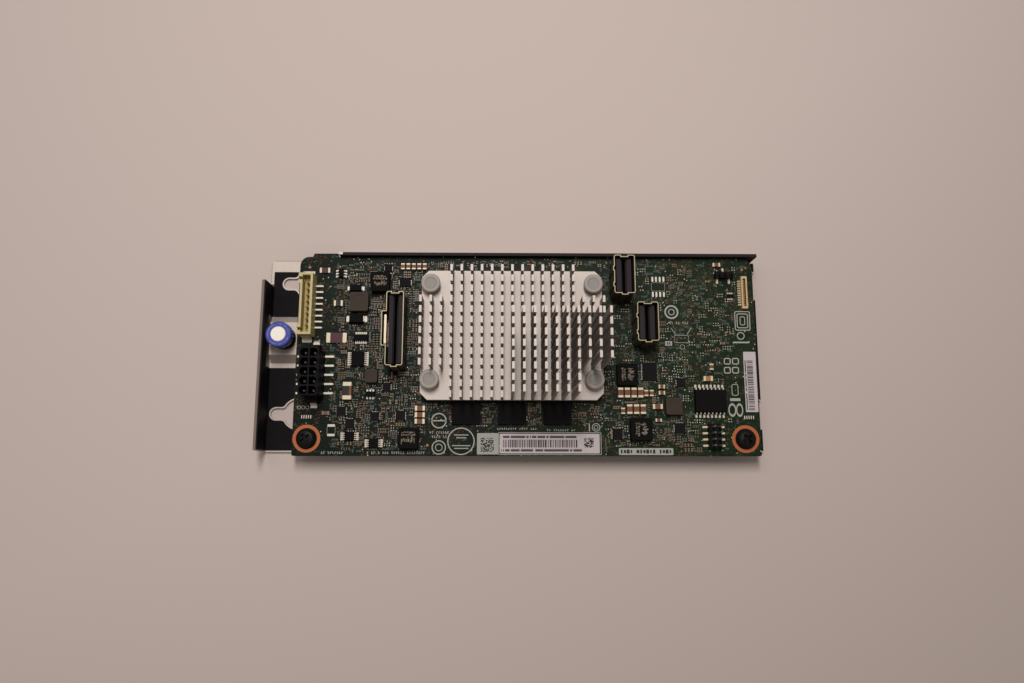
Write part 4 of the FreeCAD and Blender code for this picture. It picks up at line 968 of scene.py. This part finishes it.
# %% Bars, the label's frame and empty pads
bright = flat_tile("bright", silk, print_height, 0.04)
printed_bars = (
    # middle, size, turn in degrees: the bar under the upright mark, and the one under the ring
    # beside the label
    (143.6, 18.3, 3.4, 0.9, 0), (146.5, 37.3, 5.4, 0.5, 0),
    # inside the round marks
    (47.0, 11.3, 4.8, 0.4, 0), (54.3, 3.3, 5.8, 0.3, 0), (54.3, 2.4, 4.6, 0.3, 0),
    (54.3, 5.8, 3.2, 0.3, 0), (54.3, 6.7, 4.6, 0.3, 0),
    # the middle mark, a small plate, the whiskers of the outlined area
    (95.7, 9.2, 0.35, 2.6, 0), (122.4, 36.9, 2.3, 1.5, 0),
    (124.1, 41.0, 2.7, 0.2, -58), (129.4, 41.1, 2.7, 0.2, 57),
    # a white block beside the power header, and the two plates of print
    (6.6, 37.0, 1.7, 0.7, 0), (113.9, 1.45, 17.6, 2.2, 0), (3.1, 60.5, 4.0, 0.9, 0),
)
stamp(bright, [(spot(x, y), np.radians(turn), (wide, deep, 1))
               for x, y, wide, deep, turn in printed_bars], "printed_bars", "label_white")
frame_bars = ((82.8, 0.45, 33.2, 0.2), (82.8, 7.5, 33.2, 0.2), (99.4, 4.0, 0.2, 7.1),
              (66.3, 4.0, 0.2, 7.1))
stamp(bright, level(frame_bars), "label_frame", "label_white")
empty_pads = [(x, y, 0.62, 1.7) for x in (117.7, 118.9, 120.15, 121.4) for y in (53.5, 58.7)]
empty_pads += [(12.4, y, 2.4, 0.75) for y in (6.65, 9.7)]
empty_pads += [(x0 + 0.72 * i, 12.5, 0.3, 1.1) for x0 in (2.8, 146.4) for i in range(5)]
stamp(pad, level(empty_pads), "empty_chip_pads", "tinned_lead")

# %% Dark figures on the print plates, and rows of short words
ink = plain("plate_ink", tone(46, 44, 42), 0.7, gloss=0.15)
block = flat_tile("block", ink, 0.03, 0.1)
figures = [(106.0 + 1.05 * i, 1.45, 0.55 + 0.2 * (i % 3), 1.3 - 0.3 * (i % 2))
           for i in range(16) if i not in (4, 11)]
figures += [(1.7 + 0.7 * i, 60.5, 0.3, 0.6) for i in range(5)]
figures += [(122.1, 36.9, 0.4, 0.9), (122.8, 36.9, 0.4, 0.9)]
stamp(block, level(figures), "plate_figures", "epoxy_black")
word_pitch = 0.72
word_places = []
for x0, x1, y, tall in (
    # from, to, middle and height of a row
    (44.2, 50.4, 7.5, 0.85), (45.0, 49.6, 6.1, 0.85), (123.1, 130.2, 43.8, 0.9),
    (9.6, 16.7, 1.0, 0.8), (23.5, 42.8, 1.0, 0.8), (66.0, 78.8, 8.7, 0.6), (82.1, 91.0, 8.3, 0.6),
):
    across = x0
    while across < x1:
        if random.random() < 0.85:
            word_places.append((spot(across, y), random.uniform(-0.3, 0.3), (0.2, tall, 1)))
            lift = random.choice((-0.35, 0, 0.35)) * tall
            word_places.append((spot(across + 0.2, y + lift), 0, (0.36, 0.16, 1)))
        across += word_pitch
stamp(bright, word_places, "printed_words", "label_white")
drop(block, bright, pad, cap)

# %% [markdown]
# ## The plunger's spring
#
# Inside the ferrule a coil spring presses down on the pin's collar, and closes up when the knob
# is pulled. It starts as a circle of the wire's size, which a screw modifier winds into a coil
# and whose two open ends are filled.

# %% The coil spring
wire = 0.35 * mm
coils = 4
low, high = corners("plunger_spring")
middle, length = (low + high) / 2, high.z - low.z
bpy.ops.object.select_all(action="DESELECT")
bpy.ops.mesh.primitive_circle_add(
    vertices=8, radius=wire / 2, fill_type="NOTHING", rotation=(np.pi / 2, 0, 0),
    location=((high.x - low.x - wire) / 2, 0, wire / 2))
spring = started("plunger_coil_spring", spring_wire)
winding = spring.modifiers.new("winding", "SCREW")
winding.iterations = coils
winding.screw_offset = (length - wire) / coils
winding.steps = winding.render_steps = 24
bpy.ops.object.modifier_apply(modifier="winding")
edit_whole()
bpy.ops.mesh.fill_holes(sides=0)
face_outwards()
spring.data.transform(Matrix.Translation((middle.x, middle.y, low.z)))
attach(spring, "card")
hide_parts("plunger_spring")
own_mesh(spring)

# %% [markdown]
# ## The film's turned-over edge
#
# Along the back the film is folded over the top of the wall, so that the steel's edge shows only
# at its left end. The strip starts as a box over the wall's top and gets its edges rounded.

# %% Folded film strip
bare_end, strip_wide, strip_tall = 1.3 * mm, 1.12, 0.3
back = corners("tray")[1].y
wall_points = [v.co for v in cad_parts["tray"].data.vertices if v.co.y > back - 0.3 * mm]
wall_top = max(point.z for point in wall_points)
wall_start = min(point.x for point in wall_points if point.z > wall_top - 0.1 * mm) + bare_end
wall_end = max(point.x for point in wall_points)
folded = plain("folded_film", tone(31, 25, 25), 0.6, gloss=0.12)
strip = start_box("film_edge_strip", ((wall_end - wall_start) / mm, strip_wide, strip_tall), folded,
                  ((wall_start + wall_end) / 2, back - strip_wide / 2 * mm, wall_top - 0.09 * mm))
pick(strip, lambda centre, normal: normal.z > 0.5)
bpy.ops.mesh.bevel(offset=0.12 * mm, segments=2, affect="EDGES")
bpy.ops.object.mode_set(mode="OBJECT")
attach(strip, "card")
print("film strip", round((wall_end - wall_start) / mm, 1), "mm long")

# %% [markdown]
# ## Print on the power coils
#
# The coils' tops carry a few lines of grey print. Short bars of random width stand in for it.

# %% Bars on each coil
coil_print = plain("coil_print", tone(132, 120, 102), 0.7, size=0.25, shade=0.5)
bar = flat_tile("coil_bar", coil_print, 0.015, 0.04)
half_row, bar_gap = 2.2, 0.14
coil_bars = []
for low, high in boxes("power_coils"):
    middle = (low + high) / 2
    middle.z = high.z
    turned_print = random.random() < 0.5
    for row, tall in ((1.7, 0.6), (0.9, 0.6), (-0.8, 1.8)):
        across = random.uniform(0, 0.5) - half_row
        while across < half_row - 0.1:
            wide = random.choice((0.16, 0.22, 0.4))
            lift = random.choice((-0.2, 0.0, 0.2)) * tall
            offset = Vector((across, row + lift, 0))
            size = (wide, tall * random.choice((0.5, 1.0)), 1)
            if turned_print:
                offset = Vector((-offset.y, offset.x, 0))
                size = (size[1], size[0], 1)
            coil_bars.append((middle + offset * mm, 0, size))
            across += wide + bar_gap
stamp(bar, coil_bars, "coil_print_bars", "label_white")
drop(bar)

# %% [markdown]
# ## Floor, light and camera
#
# The card lies on a pinkish grey surface, painted darker towards the front right as shade where
# the lamp's light falls off. A soft lamp behind and above it casts the shadows, a weaker one on
# the left fills them, and the room adds an even light. Their strength is low enough that a colour
# looks as written. Rays that miss the floor see the room as pale.

# %% Floor
bpy.ops.object.select_all(action="DESELECT")
bpy.ops.mesh.primitive_plane_add(size=4, location=(0, 0, -0.0002))
floor = bpy.context.object
floor.name = "floor"
paper = Finish("floor_paper", tone(190, 175, 167), 0.9, gloss=0.2)
x, y, z = paper.axes()
# the floor's colour darkens towards the front right: painted shade of the lamp's falloff
painted_falloff = (x - y * 1.5) / 420 + 0.1
paper.feed("Base Color", paper.mix(painted_falloff, tone(190, 174, 166), tone(172, 156, 148)))
floor.data.materials.append(paper.material)
print("floor", floor.dimensions.x, "m wide")

# %% Lamps and room light
def lamp(name, place, size, power, color):
    bpy.ops.object.light_add(type="AREA", location=place)
    made = bpy.context.object
    made.name = name
    made.data.shape = "RECTANGLE"
    made.data.size, made.data.size_y = size
    made.data.energy = power
    made.data.color = color
    made.visible_camera = False
    made.rotation_euler = (-Vector(place)).to_track_quat("-Z", "Y").to_euler()
    print(name, power, "W")


lamp("back_lamp", (-0.02, 0.185, 0.52), (0.08, 0.26), 2.15, (1.0, 0.985, 0.97))
lamp("side_lamp", (-0.3, 0.35, 0.7), (0.3, 0.3), 0.6, (1.0, 0.985, 0.975))
world = bpy.data.worlds.new("room")
bpy.context.scene.world = world
world.use_nodes = True
room = world.node_tree
seen = room.nodes["Background"]
light = room.nodes.new("ShaderNodeBackground")
light.inputs["Color"].default_value = (1.0, 0.975, 0.955, 1)
light.inputs["Strength"].default_value = 0.28
seen.inputs["Color"].default_value = tone(196, 182, 174)
path = room.nodes.new("ShaderNodeLightPath")
choose = room.nodes.new("ShaderNodeMixShader")
shown = path.outputs["Is Camera Ray"]
for ray in ("Is Glossy Ray", "Is Transmission Ray"):
    either = room.nodes.new("ShaderNodeMath")
    room.links.new(shown, either.inputs[0])
    room.links.new(path.outputs[ray], either.inputs[1])
    shown = either.outputs[0]
room.links.new(shown, choose.inputs["Fac"])
room.links.new(light.outputs["Background"], choose.inputs[1])
room.links.new(seen.outputs["Background"], choose.inputs[2])
room.links.new(choose.outputs["Shader"], room.nodes["World Output"].inputs["Surface"])

# %% Camera
bpy.ops.object.camera_add(location=(-0.0051, -0.04285, 0.2641),
                          rotation=np.radians((10.16, -0.97, 0.01)))
camera = bpy.context.object
camera.data.lens = 27.8
camera.data.sensor_width = 36
camera.data.clip_start = 0.01
bpy.context.scene.camera = camera
print("camera lens", camera.data.lens, "mm")
bpy.context.scene.view_settings.view_transform = "Standard"
